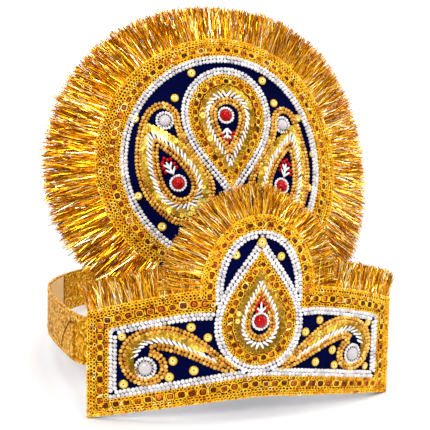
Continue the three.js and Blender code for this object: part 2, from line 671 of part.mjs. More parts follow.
// One paisley of the halo
function addPaisley(add, name) {
  const { side, drop: { u, v, degrees }, jewel, outer } = PAISLEYS[name];
  const loop = through([...outer, ...PAISLEY_INNER], side, HALO_AXIS, true);
  const turn = side * THREE.MathUtils.degToRad(degrees);
  const place = { u: HALO_AXIS + side * u, v, turn, fullness: PAISLEY_FULLNESS };
  const field = ["fieldInner", "fieldOuter"];
  const jewelAt = HALO_AXIS + side * jewel.u;
  const stone = round(halo, jewelAt, jewel.v, JEWEL_ROUNDS, HALO_JEWEL_RADIUS, JEWEL_SIDES);
  add(`loop_${name}`, strip(halo, loop, GOLD_WIDE, GOLD_PROFILE, STEPS.loop, true), "gold");
  add(`field_${name}`, dropRing(halo, place, PAISLEY_RINGS, field, FIELD_PROFILE, STEPS.paisley), "sequin");
  addDrop(add, name, halo, place, PAISLEY_RINGS);
  add(`jewel_halo_${name}`, stone, "white");
}

// Wide braid, bead and sequin rings of the drops in the middle of the band and of the halo
function addMiddle(add) {
  const braid = ["braidInner", "braidOuter"];
  const white = ["whiteInner", "whiteOuter"];
  const field = ["fieldInner", "fieldOuter"];
  const front = (ring, profile, steps) => dropRing(band, FRONT_DROP, FRONT_RINGS, ring, profile, steps);
  const back = (ring, profile, steps) => dropRing(halo, HALO_DROP, HALO_RINGS, ring, profile, steps);
  add("braid_front_drop", front(braid, BRAID_PROFILE, STEPS.drop), "braid");
  add("braid_halo_drop", back(braid, BRAID_PROFILE, STEPS.drop), "braid");
  add("white_halo_drop", back(white, WHITE_PROFILE, STEPS.drop), "white");
  add("field_front", front(field, FIELD_PROFILE, STEPS.sequinDrop), "sequin");
  add("field_halo", back(field, FIELD_PROFILE, STEPS.sequinDrop), "sequin");
  addDrop(add, "front", band, FRONT_DROP, FRONT_RINGS);
  addDrop(add, "halo", halo, HALO_DROP, HALO_RINGS);
}

function buildCrown(group) {
  const add = (name, geometry, finish) => {
    const mesh = new THREE.Mesh(geometry, new THREE.MeshStandardMaterial(FINISH[finish]));
    mesh.name = name;
    group.add(mesh);
  };
  const line = strapLine();
  add("front_board", frontBoard(), "velvet");
  add("halo_board", haloBoard(), "velvet");
  add("halo_stay", haloStay(), "stay");
  add("strap", strap(line), "strap");
  add("strap_tab", strapTab(line), "strap");
  add("fringe_halo", haloFringe(), "tinsel");
  add("fringe_arch", archFringe(), "tinsel");

  const rimInner = rim(RING_OUTER + GAP, RING_OUTER + GAP);
  const rimOuter = rim(HALO_WIDE - GAP, HALO_TALL - GAP);
  const ring = [rim(RING_INNER, RING_INNER), rim(RING_OUTER, RING_OUTER)];
  add("braid_border", braidBorder(), "braid");
  add("braid_halo_rim", trim(halo, rimInner, rimOuter, BRAID_PROFILE, STEPS.rim), "braid");
  add("white_front", whiteFront(), "white");
  add("white_halo_ring", trim(halo, ...ring, WHITE_PROFILE, STEPS.rim), "white");

  addMiddle(add);
  for (const [name, side] of [["left", -1], ["right", 1]]) {
    add(`fringe_${name}`, wingFringe(side), "tinsel");
    addPanel(add, name, side);
    addPaisley(add, name);
  }
}

// The crown rests on the two lower corners of its band and on the lower edge of its strap behind
const CORNER_Y = band(BAND_HALF, 0, -BOARD).y;
const REAR_Y = STRAP_WIDEST + STRAP_REAR;
const REST_TILT = Math.atan2(STRAP_LOW, REAR_Y - CORNER_Y);
const FRONT_TO_ORIGIN = 100.7;

const upright = new THREE.Group();
buildCrown(upright);
upright.position.y = -CORNER_Y;
const tilted = new THREE.Group();
tilted.add(upright);
tilted.rotation.x = -REST_TILT;
tilted.position.y = CORNER_Y - FRONT_TO_ORIGIN;
const crown = new THREE.Group();
crown.add(tilted);

export default crown;
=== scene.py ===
"""Looks of a mukut crown: velvet boards, bead rows, stone-set braid, sequins, tinsel fringe and strap.

Sizes are in millimetres in the crown's own upright frame. A `Stance` tips the crown back onto its
strap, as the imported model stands, and turns millimetres into metres.
"""

import logging
import math
from collections.abc import Callable, Sequence
from dataclasses import dataclass, field, fields, replace
from enum import Enum

import bmesh
import bpy
import numpy as np
from mathutils import Matrix, Vector


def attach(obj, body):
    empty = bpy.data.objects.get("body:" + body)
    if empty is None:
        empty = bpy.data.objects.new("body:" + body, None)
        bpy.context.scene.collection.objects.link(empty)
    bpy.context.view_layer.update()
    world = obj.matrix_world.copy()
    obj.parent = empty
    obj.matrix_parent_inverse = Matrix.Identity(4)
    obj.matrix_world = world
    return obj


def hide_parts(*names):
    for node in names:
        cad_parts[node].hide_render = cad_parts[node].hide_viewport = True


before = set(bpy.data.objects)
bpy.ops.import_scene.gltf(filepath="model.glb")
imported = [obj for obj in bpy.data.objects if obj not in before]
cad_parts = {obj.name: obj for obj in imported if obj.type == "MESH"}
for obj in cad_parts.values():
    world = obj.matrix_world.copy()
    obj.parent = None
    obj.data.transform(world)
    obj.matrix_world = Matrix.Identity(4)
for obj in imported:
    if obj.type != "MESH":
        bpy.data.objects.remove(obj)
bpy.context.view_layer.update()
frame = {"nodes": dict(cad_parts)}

LOG = logging.getLogger("crown")
MM = 0.001
SEED = 8
WHITE_ROWS = (0.74, 0.24)
OUTLINE_ROWS = (-1.0, 1.0)
OUTLINE_BEAD = 2.25
SHARP = math.radians(40)
Array = np.ndarray
Color = tuple[float, float, float]
Row = tuple[float, float]
Size = tuple[float, float, float]
Ramp = tuple[tuple[float, str], ...]
Course = Callable[[Array], Array]


class Side(Enum):
    """Sides of the crown as its viewer sees them; the value is the sign of u."""

    LEFT = -1
    RIGHT = 1

    @property
    def label(self) -> str:
        """Name as the CAD nodes spell it."""
        return self.name.lower()


class Slot(Enum):
    """Material slots of the crown's parts."""

    VELVET = "velvet"
    STRAP = "strap"
    TINSEL = "tinsel"
    BRAID = "braid"
    WHITE = "white_beads"
    GOLD = "gold_beads"
    SEQUINS = "sequins"
    CRYSTAL = "crystal"
    RED = "red_glass"


def tint(code: str) -> Color:
    """Linear colour of a screen colour.

    Args:
        code: six hexadecimal digits.

    Returns:
        Red, green and blue as the shader nodes take them.
    """
    shares = (int(code[k:k + 2], 16) / 255 for k in (0, 2, 4))
    return tuple(((x + 0.055) / 1.055) ** 2.4 if x > 0.04045 else x / 12.92 for x in shares)


def blend(ends: Row, share: float | Array) -> float | Array:
    """Value part of the way between two."""
    return ends[0] + (ends[1] - ends[0]) * share


# Places on the crown


@dataclass(frozen=True)
class Path:
    """A line on a flat sheet, closed or open, as a row of close points."""

    points: Array
    closed: bool = False
    probe: float = 0.3

    @property
    def loop(self) -> Array:
        """The points, with the first again at the end of a closed line."""
        return np.vstack([self.points, self.points[:1]]) if self.closed else self.points

    @property
    def runs(self) -> Array:
        """Distance of each point of the loop from the start."""
        steps = np.linalg.norm(np.diff(self.loop, axis=0), axis=1)
        return np.concatenate([[0.0], np.cumsum(steps)])

    @property
    def length(self) -> float:
        """Length of the line."""
        return float(self.runs[-1])

    def place(self, run: Array) -> Array:
        """Points at distances along the line.

        Args:
            run: distances from the start.

        Returns:
            The points, one row each.
        """
        runs = self.runs
        run = np.mod(run, runs[-1]) if self.closed else np.clip(run, 0, runs[-1])
        return np.stack([np.interp(run, runs, self.loop[:, k]) for k in (0, 1)], axis=-1)

    def at(self, run: Array) -> tuple[Array, Array]:
        """Points and headings at distances along the line."""
        step = self.place(run + self.probe) - self.place(run - self.probe)
        return self.place(run), np.arctan2(step[..., 1], step[..., 0])

    def spaced(self, gap: float, phase: float = 0.5) -> tuple[Array, Array]:
        """Even places along the line.

        Args:
            gap: wanted distance between two places, rounded to fill the line.
            phase: share of a step before the first place.

        Returns:
            The places and the heading at each.
        """
        count = max(round(self.length / gap), 1)
        return self.at((np.arange(count) + phase) * self.length / count)

    def beside(self, distance: float) -> "Path":
        """The line shifted to its left as it runs.

        Args:
            distance: size of the shift.

        Returns:
            The shifted line.
        """
        if self.closed:
            step = np.roll(self.points, -1, axis=0) - np.roll(self.points, 1, axis=0)
        else:
            step = np.gradient(self.points, axis=0)
        step = step / np.linalg.norm(step, axis=1, keepdims=True)
        aside = np.stack([-step[:, 1], step[:, 0]], axis=1)
        return replace(self, points=self.points + distance * aside)

    def part(self, start: float, end: float) -> "Path":
        """The open piece of the line between two shares of its length."""
        count = max(int(abs(end - start) * self.length / self.probe), 2)
        return Path(self.place(np.linspace(start, end, count) * self.length))

    @classmethod
    def through(cls, rows: Sequence[Row], side: int = 1, axis: float = 0.0, closed: bool = False) -> "Path":
        """Smooth line through a short table.

        Args:
            rows: places, measured outwards from the axis.
            side: sign of the side of the axis.
            axis: line that left and right are mirrored about.
            closed: whether the line comes back to its start.

        Returns:
            The line as close points.
        """
        flat = np.array(rows, dtype=float) * (side, 1) + (axis, 0)
        if closed:
            rows_on = np.vstack([flat[-1:], flat, flat[:2]])
        else:
            rows_on = np.vstack([2 * flat[0] - flat[1], flat, 2 * flat[-1] - flat[-2]])
        share = np.linspace(0, 1, 16, endpoint=False)[:, None]
        pieces = []
        for a, b, c, d in zip(rows_on, rows_on[1:], rows_on[2:], rows_on[3:]):
            k = np.cumsum([0.0] + [math.sqrt(np.linalg.norm(q - p)) for p, q in ((a, b), (b, c), (c, d))])
            t = k[1] + (k[2] - k[1]) * share
            ab = ((k[1] - t) * a + (t - k[0]) * b) / (k[1] - k[0])
            bc = ((k[2] - t) * b + (t - k[1]) * c) / (k[2] - k[1])
            cd = ((k[3] - t) * c + (t - k[2]) * d) / (k[3] - k[2])
            abc = ((k[2] - t) * ab + (t - k[0]) * bc) / (k[2] - k[0])
            bcd = ((k[3] - t) * bc + (t - k[1]) * cd) / (k[3] - k[1])
            pieces.append(((k[2] - t) * abc + (t - k[1]) * bcd) / (k[2] - k[1]))
        if not closed:
            pieces.append(flat[-1:])
        return cls(np.vstack(pieces), closed)


@dataclass(frozen=True)
class Stance:
    """How the crown stands: tipped back about its two front corners until its strap rests."""

    corner: float
    tilt: float
    front: float

    def turn(self, ways: Array) -> Array:
        """Directions of the upright crown as they lie in the row frame.

        Args:
            ways: directions, with x, y and z last.

        Returns:
            The turned directions.
        """
        cos, sin = math.cos(self.tilt), math.sin(self.tilt)
        x, y, z = np.moveaxis(ways, -1, 0)
        return np.stack([x, y * cos + z * sin, z * cos - y * sin], axis=-1)

    def place(self, points: Array) -> Array:
        """Points of the upright crown in the row frame, in metres."""
        about = np.array([0.0, self.corner, 0.0])
        return (self.turn(points - about) + about - (0.0, self.front, 0.0)) * MM


STANCE = Stance(corner=20.862, tilt=math.atan2(25.0, 196.0 - 20.862), front=100.7)


class Surface:
    """A sheet that things are laid on: u along it, v up it and h out of its face."""

    def frames(self, u: Array, v: Array, h: Array) -> tuple[Array, Array]:
        """Places in the row frame, and at each the directions of u, v and h as rows."""
        raise NotImplementedError

    def bend(self, bm: bmesh.types.BMesh) -> None:
        """Lays a flat model on the sheet; its x, y and z are u, v and h.

        Args:
            bm: the flat model, which is changed.
        """
        flat = np.array([vert.co[:] for vert in bm.verts])
        places, _ = self.frames(*flat.T)
        for vert, spot in zip(bm.verts, places):
            vert.co = spot


@dataclass(frozen=True)
class Board(Surface):
    """A board bent about an axis that is upright or leans back."""

    radius: float
    y: float = 0.0
    z: float = 0.0
    lean: float = 0.0

    def frames(self, u: Array, v: Array, h: Array) -> tuple[Array, Array]:
        """See `Surface.frames`.

        Args:
            u: places along the sheet.
            v: places up it.
            h: heights above its face.

        Returns:
            Places, and the three directions at each.
        """
        turn = np.asarray(u) / self.radius
        cos, sin = math.cos(self.lean), math.sin(self.lean)
        out = self.radius + h
        back = self.radius - out * np.cos(turn)
        zero = np.zeros_like(turn)
        points = [out * np.sin(turn), self.y + back * cos + v * sin, self.z + v * cos - back * sin]
        along = [np.cos(turn), np.sin(turn) * cos, -np.sin(turn) * sin]
        face = [np.sin(turn), -np.cos(turn) * cos, np.cos(turn) * sin]
        axes = [np.stack(way, axis=-1) for way in (along, [zero, zero + sin, zero + cos], face)]
        return STANCE.place(np.stack(points, axis=-1)), STANCE.turn(np.stack(axes, axis=-2))


@dataclass(frozen=True)
class StrapWall(Surface):
    """An upright wall along a line seen from above; its face is the outside of the ring."""

    line: Path

    def frames(self, u: Array, v: Array, h: Array) -> tuple[Array, Array]:
        """See `Surface.frames`; u runs against the line, so that the face looks outwards.

        Args:
            u: places along the sheet.
            v: places up it.
            h: heights above its face.

        Returns:
            Places, and the three directions at each.
        """
        place, heading = self.line.at(self.line.length - np.asarray(u))
        cos, sin = np.cos(heading), np.sin(heading)
        zero = np.zeros_like(cos)
        points = np.stack([place[:, 0] - sin * h, place[:, 1] + cos * h, v + zero], axis=-1)
        ways = ([-cos, -sin, zero], [zero, zero, zero + 1], [-sin, cos, zero])
        axes = np.stack([np.stack(way, axis=-1) for way in ways], axis=-2)
        return STANCE.place(points), STANCE.turn(axes)


@dataclass(frozen=True)
class BandShape:
    """Front band: u from its middle, v up from its lower corners."""

    radius: float = 198.0
    half: float = 86.5
    end: float = 53.5
    rise: float = 9.4
    rise_power: float = 1.5
    wing_top: float = 65.0
    wing_power: float = 1.4
    arch_half: float = 31.0
    arch_base: float = 62.0
    arch_top: float = 102.5
    arch_leg: float = 0.86
    arch_inner: float = 23.5
    arch_inner_top: float = 94.9
    arch_square: float = 2.2
    braid: float = 10.8
    slack: float = 3.4

    @property
    def board(self) -> Board:
        """The curved face."""
        return Board(self.radius)

    def low(self, u: Array) -> Array:
        """Lower edge at u."""
        return self.rise * (1 - (np.abs(u) / self.half) ** self.rise_power)

    def wing(self, u: Array) -> Array:
        """Upper edge of the wings at u."""
        run = np.clip((np.abs(u) - self.arch_half) / (self.half - self.arch_half), 0, None)
        return self.wing_top - (self.wing_top - self.end) * run ** self.wing_power

    def high(self, u: Array) -> Array:
        """Upper edge at u, over the arch too.

        Args:
            u: distances from the middle.

        Returns:
            Heights of the edge.
        """
        run = np.clip(np.abs(u) / self.arch_half, 0, 1)
        arch = self.arch_base + (self.arch_top - self.arch_base) * np.sqrt(1 - run ** 2)
        return np.where(run < 1, np.maximum(arch, self.wing_top), self.wing(u))

    def arch(self, half: float, top: float, power: float, foot: float) -> Path:
        """Arch on two straight legs, from its left foot to its right foot.

        Args:
            half: half of its width.
            top: height of its top.
            power: 2 for an ellipse, more for squarer shoulders.
            foot: height of its feet.

        Returns:
            The open line.
        """
        t = np.linspace(0, 1, 281)
        run = np.abs(2 * t - 1) / self.arch_leg
        turn = np.clip(run, 0, 1) * math.pi / 2
        u = np.sign(2 * t - 1) * half * np.sin(turn) ** (2 / power)
        v = self.arch_base + (top - self.arch_base) * np.clip(np.cos(turn), 0, 1) ** (2 / power)
        down = np.clip((run - 1) / (1 / self.arch_leg - 1), 0, 1)
        return Path(np.stack([u, v + (foot - self.arch_base) * down], axis=1))

    def bottom(self, inset: float, half: float) -> Path:
        """Line along the lower edge, set in from it.

        Args:
            inset: distance from the edge.
            half: half of its length.

        Returns:
            The open line.
        """
        u = np.linspace(-half, half, 160)
        slack = self.slack * np.abs(u) / self.half * min(inset / self.braid, 1)
        return Path(np.stack([u, self.low(u) + inset - slack], axis=1))

    def border(self, inset: float) -> Path:
        """Closed line round the band, set in from its edge.

        Args:
            inset: distance from the edge.

        Returns:
            The line.
        """
        share = inset / self.braid
        arch_half = blend((self.arch_half, self.arch_inner), share)
        arch_top = blend((self.arch_top, self.arch_inner_top), share)
        power = blend((2, self.arch_square), share)
        u = np.linspace(self.half - inset, arch_half, 60)
        wing = np.stack([u, self.wing(u) - inset], axis=1)
        over = self.arch(arch_half, arch_top, power, float(wing[-1, 1])).points[::-1]
        low = self.bottom(inset, self.half - inset).points
        return Path(np.vstack([low, wing, over, (wing * (-1, 1))[::-1]]), closed=True)


@dataclass(frozen=True)
class HaloShape:
    """Halo: u from the middle of its curved face, v up the leaning board from its centre."""

    radius: float = 165.0
    y: float = 52.6
    z: float = 127.0
    lean: float = math.radians(13.3)
    wide: float = 73.5
    tall: float = 69.0
    cut: float = 57.5
    side_turn: float = 0.06
    axis: float = 0.8
    rim_turn: float = math.radians(145)
    ring_outer: float = 59.7

    @property
    def board(self) -> Board:
        """The curved, leaning face."""
        return Board(self.radius, self.y, self.z, self.lean)

    def high(self, u: Array) -> Array:
        """Upper edge at u."""
        return self.tall * np.sqrt(1 - (u / self.wide) ** 2)

    def low(self, u: Array) -> Array:
        """Lower edge at u, straight across below."""
        return np.maximum(-self.high(u), -self.cut)

    def arc(self, wide: float, tall: float) -> Path:
        """Oval line round the centre, open below."""
        turn = np.linspace(-self.rim_turn, self.rim_turn, 361)
        return Path(np.stack([wide * np.sin(turn), tall * np.cos(turn)], axis=1))

    def rim(self, share: float) -> Path:
        """Line round the halo, from the white ring at share 0 to the edge at share 1."""
        wide, tall = (blend((self.ring_outer, edge), share) for edge in (self.wide, self.tall))
        return self.arc(wide, tall)


@dataclass(frozen=True)
class Ring:
    """Size of a drop's outline: radius of the round end, reach to the point, depth of the round end."""

    radius: float
    reach: float
    depth: float

    def toward(self, other: "Ring", share: float) -> "Ring":
        """Outline part of the way to another."""
        pairs = ((self.radius, other.radius), (self.reach, other.reach), (self.depth, other.depth))
        return Ring(*(blend(pair, share) for pair in pairs))


@dataclass(frozen=True)
class DropPlace:
    """Place and turn of a drop on its board."""

    u: float
    v: float
    turn: float = 0.0
    fullness: float = 1.25

    def spot(self, wide: Array, along: Array) -> Array:
        """Places on the board from distances across and along the drop.

        Args:
            wide: distances across.
            along: distances towards the point.

        Returns:
            The places.
        """
        cos, sin = math.cos(self.turn), math.sin(self.turn)
        wide, along = np.asarray(wide, dtype=float), np.asarray(along, dtype=float)
        return np.stack([self.u + wide * cos + along * sin, self.v - wide * sin + along * cos], axis=-1)

    def outline(self, ring: Ring) -> Path:
        """Closed outline, clockwise from the point.

        Args:
            ring: size of the outline.

        Returns:
            The outline.
        """
        t = np.linspace(0, 2 * math.pi, 320, endpoint=False)
        rise, swing = np.cos(t), np.sin(t)
        side = np.sign(swing) * np.cos(math.pi / 2 * np.clip(rise, 0, 1)) ** self.fullness
        wide = ring.radius * np.where(rise > 0, side, swing)
        return Path(self.spot(wide, np.where(rise > 0, ring.reach, ring.depth) * rise), closed=True)

    def between(self, pair: tuple[Ring, Ring], share: float) -> Path:
        """Outline part of the way between two sizes."""
        return self.outline(pair[0].toward(pair[1], share))


BAND = BandShape()
HALO = HaloShape()


# Many small things


@dataclass(frozen=True)
class Spots:
    """Places of many like things: place, turn about the face, lean, size along three axes and tone."""

    places: Array
    turn: Array
    h: Array
    size: Array
    lean: Array
    tone: Array

    @classmethod
    def lay(
        cls,
        where: tuple[Array, Array],
        size: Sequence[float],
        h: float | Array = 0.0,
        turn: float | Array = 0.0,
        lean: float | Array = 0.0,
        tone: float | Array = 0.5,
    ) -> "Spots":
        """Things of one size at places with headings.

        Args:
            where: places (n, 2) and the heading of each.
            size: size along the heading, across it and out of the face.
            h: height of their middles above the face.
            turn: turn added to the heading.
            lean: tilt of the heading out of the face.
            tone: shade from 0 to 1.

        Returns:
            The laid things.
        """
        places, heading = np.atleast_2d(where[0]), np.atleast_1d(where[1])
        count = len(places)
        full = (np.broadcast_to(x, count).astype(float) for x in (heading + turn, h, lean, tone))
        turned, height, leaning, shade = full
        return cls(places, turned, height, np.tile(np.asarray(size, float), (count, 1)), leaning, shade)

    @staticmethod
    def joined(groups: Sequence["Spots"]) -> "Spots":
        """Many groups together."""
        rows = ([getattr(group, part.name) for group in groups] for part in fields(Spots))
        return Spots(*(np.concatenate(row) for row in rows))

    def apart(self, distance: float) -> "Spots":
        """The things without those that lie closer than distance to an earlier one.

        Args:
            distance: least distance between two.

        Returns:
            The things that stay.
        """
        keep: list[int] = []
        for index, place in enumerate(self.places):
            if not keep or np.min(np.linalg.norm(self.places[keep] - place, axis=1)) >= distance:
                keep.append(index)
        return Spots(*(getattr(self, part.name)[keep] for part in fields(Spots)))

    def loose(self, rng: np.random.Generator, shift: float, turn: float, size: float = 0.0) -> "Spots":
        """The things a little out of order, each with a tone of its own.

        Args:
            rng: source of the disorder.
            shift: deviation of the places.
            turn: deviation of the turns.
            size: deviation of the sizes, as a share.

        Returns:
            The loosened things.
        """
        count = len(self.places)
        return replace(
            self,
            places=self.places + rng.normal(0, shift, (count, 2)),
            turn=self.turn + rng.normal(0, turn, count),
            size=self.size * (1 + rng.normal(0, size, (count, 1))),
            tone=np.clip(rng.normal(0.5, 0.25, count), 0, 1),
        )


@dataclass(frozen=True)
class Mold:
    """One small closed shape, about a millimetre in radius, that is copied many times."""

    verts: Array
    loops: Array
    starts: Array
    smooth: bool = True
    # Tone added at each corner, for painted light and shade.
    shade: float | Array = 0.0

    @classmethod
    def cast(cls, bm: bmesh.types.BMesh, smooth: bool = True) -> "Mold":
        """Takes the shape of a model and frees the model.

        Args:
            bm: the model.
            smooth: whether its faces are shaded smooth.

        Returns:
            The mold.
        """
        bmesh.ops.recalc_face_normals(bm, faces=bm.faces[:])
        bm.verts.index_update()
        verts = np.array([vert.co[:] for vert in bm.verts])
        faces = [[vert.index for vert in face.verts] for face in bm.faces]
        starts = np.cumsum([0] + [len(face) for face in faces[:-1]])
        bm.free()
        return cls(verts, np.concatenate(faces), starts, smooth)

    def shaded(self, middle: float, rim: float, facets: float = 0.0) -> "Mold":
        """The shape with painted light and shade: a tone that changes from its axis to its rim, and round it
        from facet to facet.

        Args:
            middle: tone added at the axis.
            rim: tone added at radius 1.
            facets: how much the painted glints vary the tone round it.

        Returns:
            The shaded shape.
        """
        out = np.hypot(self.verts[:, 0], self.verts[:, 1])
        round_it = np.cos(3 * np.arctan2(self.verts[:, 1], self.verts[:, 0]) + 1.0)
        return replace(self, shade=middle + (rim - middle + facets * round_it) * out)

    @classmethod
    def bead(cls, around: int = 8, rows: int = 6) -> "Mold":
        """Round bead.

        Args:
            around: faces round it.
            rows: faces from end to end.

        Returns:
            The mold.
        """
        bm = bmesh.new()
        bmesh.ops.create_uvsphere(bm, u_segments=around, v_segments=rows, radius=1)
        return cls.cast(bm)

    @classmethod
    def seed(cls) -> "Mold":
        """Small bead with few faces, for stitches, threads and claws."""
        return cls.bead(around=6, rows=4)

    @classmethod
    def bugle(cls) -> "Mold":
        """Tube bead along x, of length 2, with softened ends.

        Returns:
            The mold.
        """
        bm = bmesh.new()
        bmesh.ops.create_cone(bm, cap_ends=True, segments=6, radius1=1, radius2=1, depth=2)
        rims = [edge for edge in bm.edges if abs(edge.verts[0].co.z - edge.verts[1].co.z) < 0.1]
        bmesh.ops.bevel(
            bm, geom=rims, offset=0.3, segments=1, profile=0.5, affect="EDGES", material=-1,
        )
        bmesh.ops.rotate(bm, verts=bm.verts[:], cent=(0, 0, 0), matrix=Matrix.Rotation(math.pi / 2, 3, "Y"))
        return cls.cast(bm)

    @classmethod
    def turned(cls, profile: Sequence[Row], steps: int, smooth: bool = True) -> "Mold":
        """Ring with a closed cross-section of (radius, height) rows.

        Args:
            profile: rows of the cross-section.
            steps: faces round it.
            smooth: whether its faces are shaded smooth.

        Returns:
            The mold.
        """
        bm = bmesh.new()
        verts = [bm.verts.new((radius, 0, height)) for radius, height in profile]
        edges = [bm.edges.new(pair) for pair in zip(verts, verts[1:] + verts[:1])]
        bmesh.ops.spin(
            bm, geom=verts + edges, cent=(0, 0, 0), axis=(0, 0, 1), angle=2 * math.pi, steps=steps,
            use_merge=True,
        )
        return cls.cast(bm, smooth)

    @classmethod
    def link(cls, thread: float, steps: int, sides: int = 4) -> "Mold":
        """Loop of thread of radius 1."""
        turns = np.arange(sides) * 2 * math.pi / sides
        return cls.turned([(1.0 - thread + thread * math.cos(k), thread * math.sin(k)) for k in turns], steps)

    def squared(self) -> "Mold":
        """The shape with its round outline drawn out to a rounded square.

        Returns:
            The squared shape.
        """
        turn = np.arctan2(self.verts[:, 1], self.verts[:, 0])
        grow = (np.cos(turn) ** 4 + np.sin(turn) ** 4) ** -0.25
        return replace(self, verts=self.verts * np.column_stack([grow, grow, np.ones(len(grow))]))

    @classmethod
    def stone(cls, sides: int = 8) -> "Mold":
        """Cut stone: a girdle and two rounds of facets up to a small table.

        Args:
            sides: facets in a round.

        Returns:
            The mold.
        """
        bm = bmesh.new()
        bmesh.ops.create_cone(bm, cap_ends=True, segments=sides, radius1=1, radius2=0.98, depth=0.5)
        table = max(bm.faces, key=lambda face: face.calc_center_median().z)
        bmesh.ops.inset_region(bm, faces=[table], thickness=0.32, depth=0.3)
        bmesh.ops.inset_region(bm, faces=[table], thickness=0.36, depth=0.14)
        return cls.cast(bm, smooth=False)

    @classmethod
    def strand(cls, pieces: int) -> "Mold":
        """Three-sided strand of radius 1 along z from 0 to 1.

        Args:
            pieces: lengths between its joints.

        Returns:
            The mold.
        """
        bm = bmesh.new()
        bmesh.ops.create_circle(bm, cap_ends=True, segments=3, radius=1)
        tip = bm.faces[:]
        for _ in range(pieces):
            grown = bmesh.ops.extrude_face_region(bm, geom=tip)["geom"]
            tip = [item for item in grown if isinstance(item, bmesh.types.BMFace)]
            corners = list({vert for face in tip for vert in face.verts})
            bmesh.ops.translate(bm, verts=corners, vec=(0, 0, 1 / pieces))
        return cls.cast(bm, smooth=False)


# Finishes


class Socket:
    """A node's output that can stand in a sum."""

    def __init__(self, nodes: "Nodes", link: bpy.types.NodeSocket) -> None:
        """Wraps an output of a node tree."""
        self.nodes = nodes
        self.link = link

    def _math(self, operation: str, other: object) -> "Socket":
        """Result of a Math node on this value and another."""
        return self.nodes.node("ShaderNodeMath", {"operation": operation}, {0: self, 1: other})

    def __add__(self, other: object) -> "Socket":
        """Sum."""
        return self._math("ADD", other)

    def __sub__(self, other: object) -> "Socket":
        """Difference."""
        return self._math("SUBTRACT", other)

    def __mul__(self, other: object) -> "Socket":
        """Product."""
        return self._math("MULTIPLY", other)

    def over(self, edge: float) -> "Socket":
        """1 where the value is greater than edge, 0 elsewhere."""
        return self._math("GREATER_THAN", edge)


class Nodes:
    """A node tree that is written as Python sums."""

    def __init__(self, tree: bpy.types.NodeTree) -> None:
        """Starts an empty tree."""
        self.tree = tree
        tree.nodes.clear()

    def node(
        self, kind: str, settings: dict | None = None, inputs: dict | None = None, output: int | str = 0,
    ) -> Socket:
        """Adds one node.

        Args:
            kind: type of the node.
            settings: its properties, set first; "stops" are the places and colours of a ramp.
            inputs: values or sockets by the name or number of an input.
            output: name or number of the output that is wanted.

        Returns:
            That output.
        """
        made = self.tree.nodes.new(kind)
        for key, value in (settings or {}).items():
            if key == "stops":
                self._set_stops(made.color_ramp, value)
            else:
                setattr(made, key, value)
        for key, value in (inputs or {}).items():
            if isinstance(value, Socket):
                self.tree.links.new(value.link, made.inputs[key])
            elif made.inputs[key].type == "RGBA":
                made.inputs[key].default_value = (*value, 1.0)
            else:
                made.inputs[key].default_value = value
        return Socket(self, made.outputs[output])

    @staticmethod
    def _set_stops(ramp: bpy.types.ColorRamp, stops: Ramp) -> None:
        """Gives a ramp its stops.

        Args:
            ramp: ramp of a node.
            stops: place and screen colour of each.
        """
        while len(ramp.elements) < len(stops):
            ramp.elements.new(0.5)
        for element, (place, code) in zip(ramp.elements, stops):
            element.position = place
            element.color = (*tint(code), 1.0)

    def mix(self, share: object, first: object, second: object) -> Socket:
        """Two colours mixed."""
        return self.node("ShaderNodeMix", {"data_type": "RGBA"}, {0: share, 6: first, 7: second}, 2)

    def ramp(self, share: object, stops: Ramp) -> Socket:
        """Colour of a ramp."""
        return self.node("ShaderNodeValToRGB", {"stops": stops}, {0: share})

    def object_place(self) -> Socket:
        """Place on the piece in the row frame."""
        return self.node("ShaderNodeTexCoord", output="Object")

    def noise(self, scale: float, detail: float = 2.0) -> Socket:
        """Cloudy pattern."""
        inputs = {"Vector": self.object_place(), "Scale": scale, "Detail": detail}
        return self.node("ShaderNodeTexNoise", None, inputs)

    def cells(self, scale: float, output: str) -> Socket:
        """Pattern of small flakes."""
        inputs = {"Vector": self.object_place(), "Scale": scale}
        return self.node("ShaderNodeTexVoronoi", None, inputs, output)

    def tone(self) -> Socket:
        """Shade that each small thing carries."""
        return self.node("ShaderNodeAttribute", {"attribute_name": "tone"}, None, "Fac")

    def bump(self, height: Socket, strength: float, distance: float) -> Socket:
        """Normal of a fine relief."""
        inputs = {"Strength": strength, "Distance": distance, "Height": height}
        return self.node("ShaderNodeBump", None, inputs)

    def surface(self, inputs: dict) -> None:
        """Ends a material's tree with its surface."""
        face = self.node("ShaderNodeBsdfPrincipled", None, inputs)
        self.node_out("ShaderNodeOutputMaterial", face)

    def node_out(self, kind: str, shader: Socket) -> None:
        """Adds the output node."""
        end = self.tree.nodes.new(kind)
        self.tree.links.new(shader.link, end.inputs["Surface"])


@dataclass(frozen=True)
class Finish:
    """A finish; its material is made when a piece first needs it."""

    name: str

    def material(self) -> bpy.types.Material:
        """The shared material of this finish.

        Returns:
            The material.
        """
        made = bpy.data.materials.get(self.name)
        if made is None:
            made = bpy.data.materials.new(self.name)
            made.use_nodes = True
            self.paint(Nodes(made.node_tree))
        return made

    def paint(self, nodes: Nodes) -> None:
        """Writes the material's nodes."""
        raise NotImplementedError

    def dress(self, piece: bpy.types.Object) -> None:
        """Gives a piece this finish alone."""
        piece.data.materials.clear()
        piece.data.materials.append(self.material())


@dataclass(frozen=True)
class Velvet(Finish):
    """Short dark pile with patches where it is brushed another way."""

    deep: str = "00021A"
    brushed: str = "02073E"
    pile: float = 2600.0
    patches: float = 45.0

    def paint(self, nodes: Nodes) -> None:
        """Writes the material's nodes.

        Args:
            nodes: empty node tree of the material.
        """
        color = nodes.mix(nodes.noise(self.patches, 3), tint(self.deep), tint(self.brushed))
        nodes.surface({
            "Base Color": color,
            "Roughness": 0.95,
            "Specular IOR Level": 0.03,
            "Sheen Weight": 0.08,
            "Sheen Roughness": 0.35,
            "Sheen Tint": tint("1A28C8"),
            "Normal": nodes.bump(nodes.noise(self.pile, 2), 0.6, 0.0002),
        })


